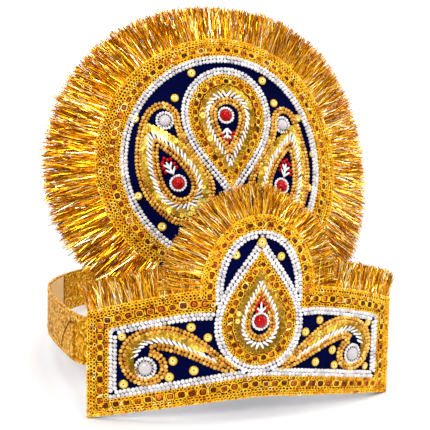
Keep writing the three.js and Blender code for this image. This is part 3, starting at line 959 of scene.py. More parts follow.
@dataclass(frozen=True)
class Glaze(Finish):
    """Glossy beads, glass and stones whose shade follows their tone."""

    stops: Ramp = ((0.0, "808080"), (1.0, "FFFFFF"))
    roughness: float = 0.2
    metallic: float = 0.0
    coat: float = 0.5
    grain: float = 700.0
    relief: float = 0.0
    gloss: float = 0.3

    def paint(self, nodes: Nodes) -> None:
        """Writes the material's nodes.

        Args:
            nodes: empty node tree of the material.
        """
        cloud = nodes.noise(self.grain, 2)
        # The tone sets the shade and the grain moves it by up to a fifth.
        shade = nodes.tone() * 0.8 + cloud * 0.4 - 0.1
        inputs = {
            "Base Color": nodes.ramp(shade, self.stops),
            "Roughness": cloud * 0.12 + (self.roughness - 0.06),
            "Metallic": self.metallic,
            "Specular IOR Level": self.gloss,
            "Coat Weight": self.coat,
            "Coat Roughness": 0.08,
        }
        if self.relief:
            inputs["Normal"] = nodes.bump(cloud, self.relief, 0.0003)
        nodes.surface(inputs)


@dataclass(frozen=True)
class Cloth(Finish):
    """Plain woven cloth."""

    dark: str = "101022"
    light: str = "1C1C38"
    threads: float = 2400.0
    wave_unit: float = 6.3

    def paint(self, nodes: Nodes) -> None:
        """Writes the material's nodes.

        Args:
            nodes: empty node tree of the material.
        """
        place = nodes.object_place()
        inputs = {"Vector": place, "Scale": self.threads / self.wave_unit}
        warp, weft = (nodes.node("ShaderNodeTexWave", {"bands_direction": way}, inputs) for way in "XZ")
        weave = warp * weft
        color = nodes.mix(weave * 0.6 + nodes.noise(220, 3) * 0.5, tint(self.dark), tint(self.light))
        nodes.surface({
            "Base Color": color,
            "Roughness": 0.9,
            "Specular IOR Level": 0.2,
            "Normal": nodes.bump(weave, 0.4, 0.0002),
        })


@dataclass(frozen=True)
class Glitter(Finish):
    """Cloth covered with glitter flakes."""

    stops: Ramp = ((0.0, "5A2E00"), (0.35, "B47006"), (0.7, "E8AC20"), (1.0, "FFE880"))
    flakes: float = 900.0

    def paint(self, nodes: Nodes) -> None:
        """Writes the material's nodes.

        Args:
            nodes: empty node tree of the material.
        """
        cell = nodes.cells(self.flakes, "Color")
        spark = nodes.node("ShaderNodeSeparateColor", None, {0: cell}, 0)
        other = nodes.node("ShaderNodeSeparateColor", None, {0: cell}, 1)
        shade = spark * 0.75 + nodes.noise(160, 3) * 0.35 - 0.05
        nodes.surface({
            "Base Color": nodes.ramp(shade, self.stops),
            "Roughness": other * 0.4 + 0.25,
            "Metallic": spark.over(0.55) * 0.4 + 0.3,
            "Specular IOR Level": 0.0,
            "Normal": nodes.bump(nodes.cells(self.flakes, "Distance"), 0.7, 0.0003),
        })


@dataclass(frozen=True)
class Ground(Finish):
    """Plain pale floor."""

    color: str = "E4E6EA"

    def paint(self, nodes: Nodes) -> None:
        """Writes the material's nodes."""
        nodes.surface({"Base Color": tint(self.color), "Roughness": 0.9, "Specular IOR Level": 0.1})


VELVET = Velvet("crown_velvet")
BACKING = Cloth("crown_backing")
TAPE = Cloth("crown_tape", dark="5A3A0A", light="9A6C18")
PEARL = Glaze(
    "crown_pearl", ((0.0, "A8A2A8"), (0.4, "DEDADC"), (1.0, "FEFCFC")), roughness=0.26, coat=0.12,
)
AMBER = Glaze(
    "crown_amber", ((0.0, "8E4E08"), (0.35, "D69A30"), (0.7, "F8C252"), (1.0, "FFECA8")),
    roughness=0.24, metallic=0.4, coat=0.2,
)
# The palest stops are painted glints on the links and cords of the highest tone.
THREAD = Glaze(
    "crown_thread",
    ((0.0, "8A3C02"), (0.25, "EC960A"), (0.5, "FFC61E"), (0.75, "FFDA40"), (0.96, "FFF6BC")),
    roughness=0.34, metallic=0.4, coat=0.0, gloss=0.15,
)
# Dark brown thread for the braids' ground and the strap's seams; it also paints the shade in the gaps between
# the braids' links and the shadow round the strap's tab.
WEAVE_AND_SHADE = Glaze(
    "crown_weave", ((0.0, "2C0C00"), (0.5, "602002"), (1.0, "A0540A")),
    roughness=0.6, metallic=0.1, coat=0.0, grain=2600.0, relief=0.6, gloss=0.1,
)
TINSEL = Glaze(
    "crown_tinsel",
    ((0.0, "3A1200"), (0.3, "AC5C04"), (0.55, "E8980A"), (0.8, "FFD22E"), (1.0, "FFFFEC")),
    roughness=0.22, metallic=0.7, coat=0.0, gloss=0.06,
)
TOPAZ = Glaze(
    "crown_topaz",
    ((0.0, "1E0802"), (0.35, "5A1E06"), (0.65, "A84A0C"), (0.9, "E88428"), (1.0, "FFD09C")),
    roughness=0.2, coat=0.1, gloss=0.2,
)
FOIL = Glaze(
    "crown_foil",
    ((0.0, "5C3C04"), (0.25, "A0760E"), (0.5, "D8AA24"), (0.75, "FAE058"), (1.0, "FFFABC")),
    roughness=0.24, metallic=0.45, coat=0.1, gloss=0.2,
)
CUP = Glaze(
    "crown_cup", ((0.0, "8E5A06"), (0.3, "CC9C26"), (0.6, "F2D25C"), (1.0, "FFF6CC")),
    roughness=0.2, metallic=0.25, coat=0.2,
)
RUBY = Glaze("crown_ruby", ((0.0, "8E0003"), (1.0, "C40408")), roughness=0.12, coat=0.14, gloss=0.12)
SILVER = Glaze("crown_silver", ((0.0, "98949A"), (1.0, "DEDADC")), roughness=0.16, coat=0.3)
# Painted shade: dark colour for the jewels' settings, where the groove round each stone is in shade.
SHADE = Glaze("crown_shade", ((0.0, "0A0A14"), (1.0, "2C2430")), roughness=0.3, coat=0.2)
GLITTER = Glitter("crown_glitter")
LINING = Cloth("crown_lining", dark="DCAE6C", light="F6D098", threads=1600.0)
GROUND = Ground("studio_floor")


# Pieces


def smooth_mesh(name: str, bm: bmesh.types.BMesh) -> bpy.types.Mesh:
    """Smooth mesh of a model.

    Args:
        name: name of the mesh.
        bm: the model, which is freed.

    Returns:
        The mesh.
    """
    bmesh.ops.recalc_face_normals(bm, faces=bm.faces[:])
    for face in bm.faces:
        face.smooth = True
    mesh = bpy.data.meshes.new(name)
    bm.to_mesh(mesh)
    bm.free()
    return mesh


@dataclass
class Workshop:
    """Makes pieces and ties each to the crown's body and its CAD nodes."""

    rng: np.random.Generator = field(default_factory=lambda: np.random.default_rng(SEED))
    body: str = "root"

    def enter(
        self, name: str, mesh: bpy.types.Mesh, tone: Array, finish: Finish, nodes: Sequence[str],
    ) -> bpy.types.Object:
        """Makes, shades and dresses a piece.

        Args:
            name: name of the piece.
            mesh: its mesh, in the row frame.
            tone: shade of each corner.
            finish: its finish.
            nodes: CAD nodes that it stands for.

        Returns:
            The piece.
        """
        shade = mesh.attributes.new("tone", "FLOAT", "POINT")
        shade.data.foreach_set("value", tone.ravel().astype(np.float32))
        piece = bpy.data.objects.new(name, mesh)
        bpy.context.scene.collection.objects.link(piece)
        finish.dress(piece)
        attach(piece, self.body)
        if nodes:
            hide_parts(*nodes)
        LOG.info("%s: %d faces", piece.name, len(piece.data.polygons))
        return piece

    def weld(
        self, name: str, mold: Mold, verts: Array, tone: Array, finish: Finish,
        nodes: Sequence[str] = (),
    ) -> bpy.types.Object:
        """One piece from many copies of a mold.

        Args:
            name: name of the piece.
            mold: shape that was copied.
            verts: corners of each copy (copies, corners, 3), in metres.
            tone: shade of each copy, or of each corner of each copy.
            finish: finish of the piece.
            nodes: CAD nodes that it stands for.

        Returns:
            The piece.
        """
        count, corners = verts.shape[:2]
        copies = np.arange(count)[:, None]
        loops = (mold.loops + copies * corners).ravel()
        starts = (mold.starts + copies * len(mold.loops)).ravel()
        mesh = bpy.data.meshes.new(name)
        mesh.vertices.add(count * corners)
        mesh.vertices.foreach_set("co", verts.ravel())
        mesh.loops.add(len(loops))
        mesh.loops.foreach_set("vertex_index", loops.astype(np.int32))
        mesh.polygons.add(len(starts))
        mesh.polygons.foreach_set("loop_start", starts.astype(np.int32))
        mesh.polygons.foreach_set("use_smooth", np.full(len(starts), mold.smooth))
        mesh.update(calc_edges=True)
        shades = np.clip(tone.reshape(count, -1) + mold.shade, 0, 1)
        return self.enter(name, mesh, np.broadcast_to(shades, (count, corners)), finish, nodes)

    def scatter(
        self, name: str, mold: Mold, surface: Surface, spots: Spots, finish: Finish,
        nodes: Sequence[str] = (),
    ) -> bpy.types.Object:
        """One piece from copies of a mold laid on a surface.

        Args:
            name: name of the piece.
            mold: shape of one copy.
            surface: sheet that they lie on.
            spots: where and how they lie.
            finish: finish of the piece.
            nodes: CAD nodes that it stands for.

        Returns:
            The piece.
        """
        places, axes = surface.frames(*spots.places.T, spots.h)
        cos, sin = np.cos(spots.turn)[:, None], np.sin(spots.turn)[:, None]
        along = cos * axes[:, 0] + sin * axes[:, 1]
        across = cos * axes[:, 1] - sin * axes[:, 0]
        cos, sin = np.cos(spots.lean)[:, None], np.sin(spots.lean)[:, None]
        basis = np.stack([cos * along + sin * axes[:, 2], across, cos * axes[:, 2] - sin * along], axis=1)
        local = mold.verts[None] * spots.size[:, None] * MM
        verts = places[:, None] + np.einsum("nkj,njc->nkc", local, basis)
        return self.weld(name, mold, verts, spots.tone, finish, nodes)

    def solid(
        self, name: str, bm: bmesh.types.BMesh, surface: Surface, finish: Finish,
        nodes: Sequence[str] = (),
    ) -> bpy.types.Object:
        """One piece from a flat model that is bent onto a surface.

        Args:
            name: name of the piece.
            bm: the flat model, which is freed.
            surface: sheet that it is bent onto.
            finish: finish of the piece.
            nodes: CAD nodes that it stands for.

        Returns:
            The piece.
        """
        surface.bend(bm)
        mesh = smooth_mesh(name, bm)
        mesh.set_sharp_from_angle(angle=SHARP)
        return self.enter(name, mesh, np.full(len(mesh.vertices), 0.5), finish, nodes)

    def sheet(
        self, columns: int, rows: int, shape: Callable[[Array, Array], Array], wall: float,
    ) -> bmesh.types.BMesh:
        """Flat slab of cloth or card.

        Args:
            columns: faces along it.
            rows: faces across it.
            shape: gives (u, v, h) of its face from two shares.
            wall: thickness behind the face.

        Returns:
            The flat model.
        """
        bm = bmesh.new()
        bmesh.ops.create_grid(bm, x_segments=columns, y_segments=rows, size=0.5)
        flat = np.array([vert.co[:] for vert in bm.verts]) + 0.5
        for vert, spot in zip(bm.verts, shape(flat[:, 0], flat[:, 1])):
            vert.co = spot
        grown = bmesh.ops.extrude_face_region(bm, geom=bm.faces[:])["geom"]
        back = [item for item in grown if isinstance(item, bmesh.types.BMVert)]
        bmesh.ops.translate(bm, verts=back, vec=(0, 0, -wall))
        bmesh.ops.recalc_face_normals(bm, faces=bm.faces[:])
        return bm

    def ribbon(self, inner: Path, outer: Path, columns: int, low: float, high: float) -> bmesh.types.BMesh:
        """Flat strip between two lines of like course, raised a little along its middle.

        Args:
            inner: line of one edge.
            outer: line of the other edge.
            columns: faces along it.
            low: height of its edges.
            high: height along its middle.

        Returns:
            The flat model.
        """
        def shape(x: Array, y: Array) -> Array:
            """Place on the strip at two shares.

            Args:
                x: shares along it.
                y: shares across it.

            Returns:
                Places as u, v and h.
            """
            ends = inner.place(x * inner.length * (1 - 1e-9)), outer.place(x * outer.length * (1 - 1e-9))
            rise = blend((low, high), np.sin(math.pi * np.clip(y, 0, 1)) ** 0.5)
            return np.column_stack([blend(ends, y[:, None]), rise])

        bm = self.sheet(columns, 4, shape, low * 0.9)
        if inner.closed:
            seam = [face for face in bm.faces if self._on_seam(face, inner, outer)]
            bmesh.ops.delete(bm, geom=seam, context="FACES_ONLY")
            bmesh.ops.remove_doubles(bm, verts=bm.verts[:], dist=0.001)
        return bm

    @staticmethod
    def _on_seam(face: bmesh.types.BMFace, inner: Path, outer: Path) -> bool:
        """Whether a face closes the start or the end of a strip that comes back to its start.

        Args:
            face: face of the strip.
            inner: line of one edge.
            outer: line of the other edge.

        Returns:
            True on the seam.
        """
        ends = [Vector((*inner.points[0], 0)), Vector((*outer.points[0], 0))]
        way = (ends[1] - ends[0]).normalized()
        across = Vector((-way.y, way.x, 0))
        return all(abs((Vector((v.co.x, v.co.y, 0)) - ends[0]).dot(across)) < 0.01 for v in face.verts)


@dataclass
class VelvetBoards:
    """The two boards covered with velvet and the stay between them."""

    wall: float = 2.5
    columns: int = 150
    rows: int = 24
    wing_stops: int = 36
    arch_stops: int = 79

    def build(self, shop: Workshop) -> None:
        """Builds both boards and dresses the stay.

        Args:
            shop: maker of the pieces.
        """
        boards = (("front_board", BAND, self._band_u), ("halo_board", HALO, self._halo_u))
        for name, shape, columns in boards:
            def face(x: Array, y: Array) -> Array:
                """Place on the board's face at two shares.

                Args:
                    x: shares along it.
                    y: shares across it.

                Returns:
                    Places as u, v and h.
                """
                u = columns(x)
                low, high = shape.low(u), shape.high(u)
                return np.column_stack([u, low + (high - low) * y, np.zeros_like(u)])

            bm = shop.sheet(self.columns, self.rows, face, self.wall)
            shop.solid(f"{name}_velvet", bm, shape.board, VELVET, [name])
        BACKING.dress(frame["nodes"]["halo_stay"])
        LOG.info("halo_stay: dressed")

    def _band_u(self, x: Array) -> Array:
        """Columns of the band, closer together at the sides of the arch.

        Args:
            x: shares of the band's length.

        Returns:
            Places along the band.
        """
        half, arch = BAND.half, BAND.arch_half
        stops = np.concatenate([
            np.linspace(-half, -arch, self.wing_stops)[:-1],
            -arch * np.cos(np.linspace(0, math.pi, self.arch_stops)),
            np.linspace(arch, half, self.wing_stops)[1:],
        ])
        return np.interp(x, np.linspace(0, 1, len(stops)), stops)

    @staticmethod
    def _halo_u(x: Array) -> Array:
        """Columns of the halo, closer together at its sides."""
        return -HALO.wide * np.cos(HALO.side_turn + (math.pi - 2 * HALO.side_turn) * x)


@dataclass
class StoneBraid:
    """Open braid of metal thread with a row of stones, between an inner line and an outer one.

    Rows are placed by their share of the width. `links` has the share and the size of each row of links.
    """

    name: str
    surface: Surface
    line: Callable[[float], Path]
    links: tuple[Row, ...]
    stone_at: float
    stone: float
    frame: float
    gap: float
    columns: int = 200
    ground: Row = (0.02, 0.98)
    cords: Row = (0.0, 0.99)
    cord: float = 1.1
    cord_half: Size = (0.75, 0.34, 0.42)
    cord_turn: float = 0.6
    link_half: Size = (0.58, 0.5, 0.7)
    link_pitch: float = 0.92
    link_lean: float = 0.3
    tie_turn: float = 1.25

    def build(self, shop: Workshop) -> None:
        """Builds the ground strip, the crochet links, the edge cords, the stones and their frames.

        Args:
            shop: maker of the pieces.
        """
        inner, outer = (self.line(share) for share in self.ground)
        strip = shop.ribbon(inner, outer, self.columns, low=0.35, high=0.5)
        node = f"braid_{self.name}"
        # Dark ground: the braid's own brown foundation, darkened too as painted shade in the gaps between the
        # links.
        shop.solid(f"{node}_ground", strip, self.surface, WEAVE_AND_SHADE, [node])
        self._links(shop)
        self._cords(shop)
        self._stones(shop)

    def _scatter(
        self, shop: Workshop, part: str, mold: Mold, laid: Sequence[Spots], slack: Size,
        finish: Finish = THREAD,
    ) -> None:
        """One piece of the braid from groups of like things.

        Args:
            shop: maker of the pieces.
            part: last word of the piece's name.
            mold: shape of one thing.
            laid: groups of places.
            slack: disorder of place, turn and size.
            finish: finish of the piece.
        """
        spots = Spots.joined(laid).loose(shop.rng, *slack)
        shop.scatter(f"braid_{self.name}_{part}", mold, self.surface, spots, finish)

    def _links(self, shop: Workshop) -> None:
        """Rows of crochet links, each row leaning the other way.

        Args:
            shop: maker of the pieces.
        """
        laid = []
        for index, (share, size) in enumerate(self.links):
            lean = self.link_lean if index % 2 else -self.link_lean
            where = self.line(share).spaced(size * self.link_pitch)
            laid.append(Spots.lay(where, np.array(self.link_half) * size, h=1.0, turn=lean, lean=lean))
        self._scatter(shop, "links", Mold.link(thread=0.25, steps=8), laid, (0.1, 0.3, 0.08))

    def _cords(self, shop: Workshop) -> None:
        """Twisted cords along the braid.

        Args:
            shop: maker of the pieces.
        """
        half = np.array(self.cord_half) * self.cord
        courses = [self.line(share).spaced(self.cord * 1.1) for share in self.cords]
        laid = [Spots.lay(where, half, h=0.8, turn=self.cord_turn) for where in courses]
        self._scatter(shop, "cords", Mold.seed(), laid, (0.06, 0.15, 0.1))

    def _stones(self, shop: Workshop) -> None:
        """Stones, the thin loops of thread round them and the crossed threads between them.

        Args:
            shop: maker of the pieces.
        """
        path = self.line(self.stone_at)
        where = path.spaced(self.gap)
        stones = Spots.lay(where, (self.stone, self.stone, self.stone * 0.8), h=0.85)
        # Painted glints: a dark middle, a paler rim and facets of differing tone stand in for light off the
        # cut stone.
        mold = Mold.stone().shaded(middle=-0.5, rim=0.25, facets=0.3)
        self._scatter(shop, "stones", mold, [stones], (0.12, 0.5, 0.08), TOPAZ)
        loops = Spots.lay(where, (self.gap * 0.4, self.frame, 2.0), h=1.2)
        mold = Mold.link(thread=0.13, steps=16).squared()
        self._scatter(shop, "loops", mold, [loops], (0.12, 0.1, 0.06))
        where, size = path.spaced(self.gap, phase=0.0), (self.frame, 0.4, 0.4)
        ties = [Spots.lay(where, size, h=1.1, turn=sign * self.tie_turn) for sign in (-1, 1)]
        self._scatter(shop, "ties", Mold.seed(), ties, (0.15, 0.2, 0.1))


@dataclass
class BeadRows:
    """Rows of round beads that touch; `node` is the CAD node that they lie on and, as a rule, replace."""

    node: str
    surface: Surface
    rows: Sequence[Path]
    bead: float
    finish: Finish
    slot: Slot
    # Tone painted at the middle and at the rim of each bead: by default painted shade in its hole and a paler
    # rim.
    shade: Row = (-0.4, 0.16)
    replaces: bool = True
    pitch: float = 0.9
    closest: float = 0.56
    half: Size = (0.48, 0.5, 0.48)
    seat: float = 0.46
    slack: float = 0.03

    def build(self, shop: Workshop) -> None:
        """Lays the beads row by row, without those that would meet an earlier row.

        Args:
            shop: maker of the pieces.
        """
        half = np.array(self.half) * self.bead
        pitch = self.bead * self.pitch
        courses = [path.spaced(pitch, phase=0.5 * (index % 2)) for index, path in enumerate(self.rows)]
        laid = [Spots.lay(where, half, h=self.bead * self.seat) for where in courses]
        spots = Spots.joined(laid).apart(self.bead * self.closest)
        spots = spots.loose(shop.rng, shift=self.slack * self.bead, turn=0.1, size=0.04)
        nodes = [self.node] if self.replaces else []
        # Painted shade in each bead's hole and a paler rim, as `shade` gives.
        mold = Mold.bead().shaded(*self.shade)
        shop.scatter(f"{self.node}_beads", mold, self.surface, spots, self.finish, nodes)


@dataclass
class SequinField:
    """Small flat sequins sewn over one another along lines."""

    name: str
    surface: Surface
    rows: Sequence[Path]
    # Painted light: how much paler the sequins are painted at each share of a row.
    shine: Course
    sequin: float = 3.1
    gap: float = 1.6
    lean: float = 0.16
    uneven: float = 0.06
    pile: float = 0.25
    disc: tuple[Row, ...] = ((0.22, 0.0), (1.0, 0.0), (1.0, 0.07), (0.22, 0.07))

    def build(self, shop: Workshop) -> None:
        """Dresses the solid under them and lays the sequins, each painted paler or darker by its place on the
        line.

        Args:
            shop: maker of the pieces.
        """
        FOIL.dress(frame["nodes"][self.name])
        half = (self.sequin / 2,) * 3
        laid = []
        for index, path in enumerate(self.rows):
            where = path.spaced(self.gap, phase=0.5 * (index % 2))
            # Painted light: each sequin is painted paler or darker by its place along the row.
            shine = self.shine(np.linspace(0, 1, len(where[0])))
            row = Spots.lay(where, half, h=1.15, lean=self.lean)
            row = row.loose(shop.rng, shift=0.12, turn=0.5, size=0.06)
            laid.append(replace(row, tone=np.clip(shine + (0.3 + shine) * (row.tone - 0.5), 0, 1)))
        spots = Spots.joined(laid)
        count = len(spots.h)
        lean = spots.lean + shop.rng.normal(0, self.uneven, count)
        spots = replace(spots, lean=lean, h=spots.h + shop.rng.random(count) * self.pile)
        # Painted shade at each sequin's rim, and a paler middle.
        mold = Mold.turned(self.disc, 10, smooth=False).shaded(middle=0.2, rim=-0.2)
        shop.scatter(f"{self.name}_sequins", mold, self.surface, spots, FOIL)


@dataclass
class TubeBeads:
    """Tube beads that stand in for a CAD strip of them."""

    name: str
    surface: Surface
    length: float
    width: float
    lean: float = 0.04
    pale: float = 0.25

    def build(self, shop: Workshop, places: Array, ways: Array) -> None:
        """Lays the tubes.

        Args:
            shop: maker of the pieces.
            places: middle of each tube.
            ways: heading of each tube.
        """
        size = (self.length / 2, self.width / 2, self.width / 2)
        laid = Spots.lay((places, ways), size, h=0.95).loose(shop.rng, shift=0.08, turn=0.05, size=0.05)
        lean = shop.rng.normal(self.lean, self.lean, len(laid.h))
        laid = replace(laid, lean=lean, tone=np.clip(laid.tone + self.pale, 0, 1))
        shop.scatter(f"{self.name}_tubes", Mold.bugle(), self.surface, laid, PEARL, [self.name])


@dataclass(frozen=True)
class Sprig:
    """White strokes and red beads beside a dome, across and along the axis of its drop."""

    strokes: tuple[tuple[float, float, float, float], ...]
    seeds: tuple[Row, ...]


FRONT_SPRIG = Sprig(
    strokes=((0.0, 4.9, 0.0, 10.2), (0.2, 5.0, 2.3, 7.0), (-0.2, 5.0, -2.3, 7.0)),
    seeds=(
        (0.0, 12.0), (1.3, 10.0), (-1.3, 10.0), (2.5, 8.5), (-2.5, 8.5), (3.2, 6.8), (-3.2, 6.8),
        (2.2, 5.4), (-2.2, 5.4),
    ),
)
HALO_SPRIG = Sprig(
    strokes=(
        (0.0, 7.6, -2.5, 10.4), (0.0, 7.6, 2.5, 10.4), (0.0, 8.2, 0.0, 13.4), (-0.3, 11.4, -2.2, 13.2),
        (0.3, 11.4, 2.2, 13.2),
    ),
    seeds=(
        (-3.5, 10.0), (-2.7, 11.8), (3.4, 10.4), (2.7, 12.0), (-1.4, 14.0), (1.4, 14.0), (0.0, 15.0),
        (0.0, 16.8),
    ),
)
PAISLEY_SPRIG = Sprig(
    strokes=(
        (0.0, 5.2, -0.4, 13.2), (0.0, 6.0, 2.9, 9.0), (0.0, 6.0, -2.9, 9.4), (-0.2, 9.0, 2.2, 12.0),
        (-0.2, 9.0, -2.4, 12.4),
    ),
    seeds=(
        (-0.5, 15.6), (1.0, 13.9), (-1.7, 14.0), (2.4, 13.4), (3.2, 10.4), (-3.2, 10.8), (-2.7, 13.2),
        (3.4, 8.2), (-3.3, 8.4),
    ),
)


@dataclass
class BeadedDrop:
    """Gold bead drop with a ring of tube beads, a red dome in a bead ring and a sprig.

    `ray_gap` and `slant` are the pitch and the turn of the tubes at the round end and along the sides.
    """

    name: str
    surface: Surface
    place: DropPlace
    gold: tuple[Ring, Ring]
    bugle: Ring
    sprig: Sprig
    ray: float = 4.5
    ray_gap: Row = (2.5, 2.7)
    slant: Row = (0.5, 1.1)
    dome: float = 3.3
    ring: float = 4.15
    ring_bead: float = 1.65
    dome_at: Row = (0.0, 0.0)
    bead: float = 2.3
    stroke: float = 1.48
    seed: Size = (1.05, 1.05, 0.95)

    def build(self, shop: Workshop) -> None:
        """Builds every piece of the drop.

        Args:
            shop: maker of the pieces.
        """
        rows = [self.place.outline(ring) for ring in self.gold]
        BeadRows(f"gold_drop_{self.name}", self.surface, rows, self.bead, AMBER, Slot.GOLD).build(shop)
        self._rays(shop)
        self._dome(shop)
        self._sprig(shop)

    def _rays(self, shop: Workshop) -> None:
        """Tubes that splay from the round end and lie back along the sides towards the point.

        Args:
            shop: maker of the pieces.
        """
        path = self.place.outline(self.bugle)
        run = np.linspace(0, path.length, 600)
        gap = blend(self.ray_gap, self._aside(path.at(run)[1]))
        passed = np.concatenate([[0.0], np.cumsum(np.diff(run) / gap[1:])])
        count = 2 * round(passed[-1] / 2)
        places, heading = path.at(np.interp((np.arange(count) + 0.5) * passed[-1] / count, passed, run))
        out = heading + math.pi / 2
        off = np.angle(np.exp(1j * (math.pi / 2 - self.place.turn - out)))
        slant = blend(self.slant, self._aside(heading))
        tubes = TubeBeads(f"bugle_ring_{self.name}", self.surface, self.ray, self.stroke)
        tubes.build(shop, places, out + np.sign(off) * slant)

    def _aside(self, heading: Array) -> Array:
        """0 where a line with this heading rounds the drop's end, 1 along its sides."""
        off = np.angle(np.exp(1j * (-self.place.turn - heading)))
        return np.clip(1 - np.abs(np.abs(off) - math.pi / 2) / (math.pi / 2), 0, 1) ** 1.2

    def _dome(self, shop: Workshop) -> None:
        """Polished dome and the beads round it.

        Args:
            shop: maker of the pieces.
        """
        u, v = self.place.spot(*self.dome_at)
        node = f"dome_{self.name}"
        glass = cap(self.dome, 1.0, (u, v, 0.35))
        shop.solid(f"{node}_glass", glass, self.surface, RUBY, [node])
        rows = [circle(u, v, self.ring)]
        BeadRows(
            f"dome_ring_{self.name}", self.surface, rows, self.ring_bead, PEARL, Slot.WHITE,
            # Painted light: these beads are painted paler, most at the rim, with no shade in their holes.
            shade=(0.15, 0.3),
        ).build(shop)

    def _sprig(self, shop: Workshop) -> None:
        """White strokes with red beads at their ends.

        Args:
            shop: maker of the pieces.
        """
        node = f"sprig_{self.name}"
        strokes = np.array(self.sprig.strokes) + np.tile(self.dome_at, 2)
        starts, ends = self.place.spot(*strokes[:, :2].T), self.place.spot(*strokes[:, 2:].T)
        ways = np.arctan2(*(ends - starts).T[::-1])
        half = np.linalg.norm(ends - starts, axis=1) / 2
        laid = Spots.lay(((starts + ends) / 2, ways), (1.0, 0.62, 0.6), h=1.3, tone=0.8)
        laid = replace(laid, size=np.column_stack([half, laid.size[:, 1:]]))
        shop.scatter(f"{node}_stem", Mold.bugle(), self.surface, laid, PEARL)
        seeds = self.place.spot(*(np.array(self.sprig.seeds) + self.dome_at).T)
        spots = Spots.lay((seeds, np.zeros(len(seeds))), self.seed, h=1.2)
        spots = spots.loose(shop.rng, shift=0.08, turn=0.5, size=0.05)
        shop.scatter(f"{node}_seeds", Mold.bead(), self.surface, spots, RUBY, [node])


def cap(radius: float, height: float, place: Size) -> bmesh.types.BMesh:
    """Polished cap.

    Args:
        radius: radius of the ball that it is cut from.
        height: its height as a share of the radius.
        place: where its middle goes, as u, v and h.

    Returns:
        The flat model.
    """
    bm = bmesh.new()
    bmesh.ops.create_uvsphere(bm, u_segments=24, v_segments=14, radius=radius)
    whole = bm.verts[:] + bm.edges[:] + bm.faces[:]
    bmesh.ops.bisect_plane(bm, geom=whole, plane_co=(0, 0, -0.2), plane_no=(0, 0, -1), clear_outer=True)
    bmesh.ops.holes_fill(bm, edges=[edge for edge in bm.edges if edge.is_boundary])
    bmesh.ops.scale(bm, verts=bm.verts[:], vec=(1, 1, height))
    bmesh.ops.translate(bm, verts=bm.verts[:], vec=place)
    return bm


def circle(u: float, v: float, radius: float) -> Path:
    """Circle on a board."""
    turn = np.linspace(0, 2 * math.pi, 96, endpoint=False)
    return Path(np.column_stack([u + radius * np.cos(turn), v + radius * np.sin(turn)]), closed=True)


@dataclass
class Jewel:
    """White stone on a setting painted dark as the shade in the groove round it, with a ring of white beads;
    inner sizes are shares of its radius.
    """

    name: str
    surface: Surface
    u: float
    v: float
    radius: float
    stone: float = 0.62
    claws: float = 0.71
    claw_gap: float = 1.5
    claw: Size = (0.42, 0.5, 0.4)
    beads: float = 0.9
    bead: float = 1.7
    setting: tuple[Row, ...] = ((0.0001, 0.3), (0.96, 0.3), (0.96, 0.8), (0.0001, 0.95))

    def build(self, shop: Workshop) -> None:
        """Builds the stone, its setting and the beads.

        Args:
            shop: maker of the pieces.
        """
        stone = cap(self.radius * self.stone, 0.62, (self.u, self.v, 0.9))
        shop.solid(f"{self.name}_stone", stone, self.surface, SILVER, [self.name])
        middle = np.array([[self.u, self.v]]), np.zeros(1)
        spot = Spots.lay(middle, (self.radius, self.radius, 1.0))
        # The setting's dark colour is painted shade in the groove between the stone and the beads.
        base = Mold.turned(self.setting, 24)
        shop.scatter(f"{self.name}_setting", base, self.surface, spot, SHADE)
        round_stone = circle(self.u, self.v, self.radius * self.claws).spaced(self.claw_gap)
        claws = Spots.lay(round_stone, self.claw, h=1.1, tone=0.7)
        shop.scatter(f"{self.name}_claws", Mold.seed(), self.surface, claws, SILVER)
        BeadRows(
            self.name, self.surface, [circle(self.u, self.v, self.radius * self.beads)], self.bead, PEARL,
            # Painted light: these beads are painted paler, most at the rim, with no shade in their holes.
            Slot.WHITE, shade=(0.1, 0.2), replaces=False,
        ).build(shop)


@dataclass
class CupSequins:
    """Single cup sequins on the velvet."""

    name: str
    surface: Surface
    places: Sequence[Row]
    radius: float = 2.3
    h: float = 0.15
    lean: float = 0.1
    tone: float = 0.58
    profile: tuple[Row, ...] = (
        (0.17, 0.16), (0.34, 0.2), (0.64, 0.3), (0.88, 0.24), (1.0, 0.08), (1.0, 0.0), (0.17, 0.04),
    )

    def build(self, shop: Workshop) -> None:
        """Lays the cups.

        Args:
            shop: maker of the pieces.
        """
        count = len(self.places)
        spots = Spots.lay((np.array(self.places), np.zeros(count)), (self.radius,) * 3, h=self.h)
        spots = spots.loose(shop.rng, shift=0.08, turn=1.0, size=0.03)
        spots = replace(spots, lean=shop.rng.normal(0, self.lean, count), tone=np.full(count, self.tone))
        # Painted highlight in the middle of each cup and painted shade at its rim.
        mold = Mold.turned(self.profile, 20).shaded(middle=0.5, rim=-0.35)
        shop.scatter(self.name, mold, self.surface, spots, CUP)


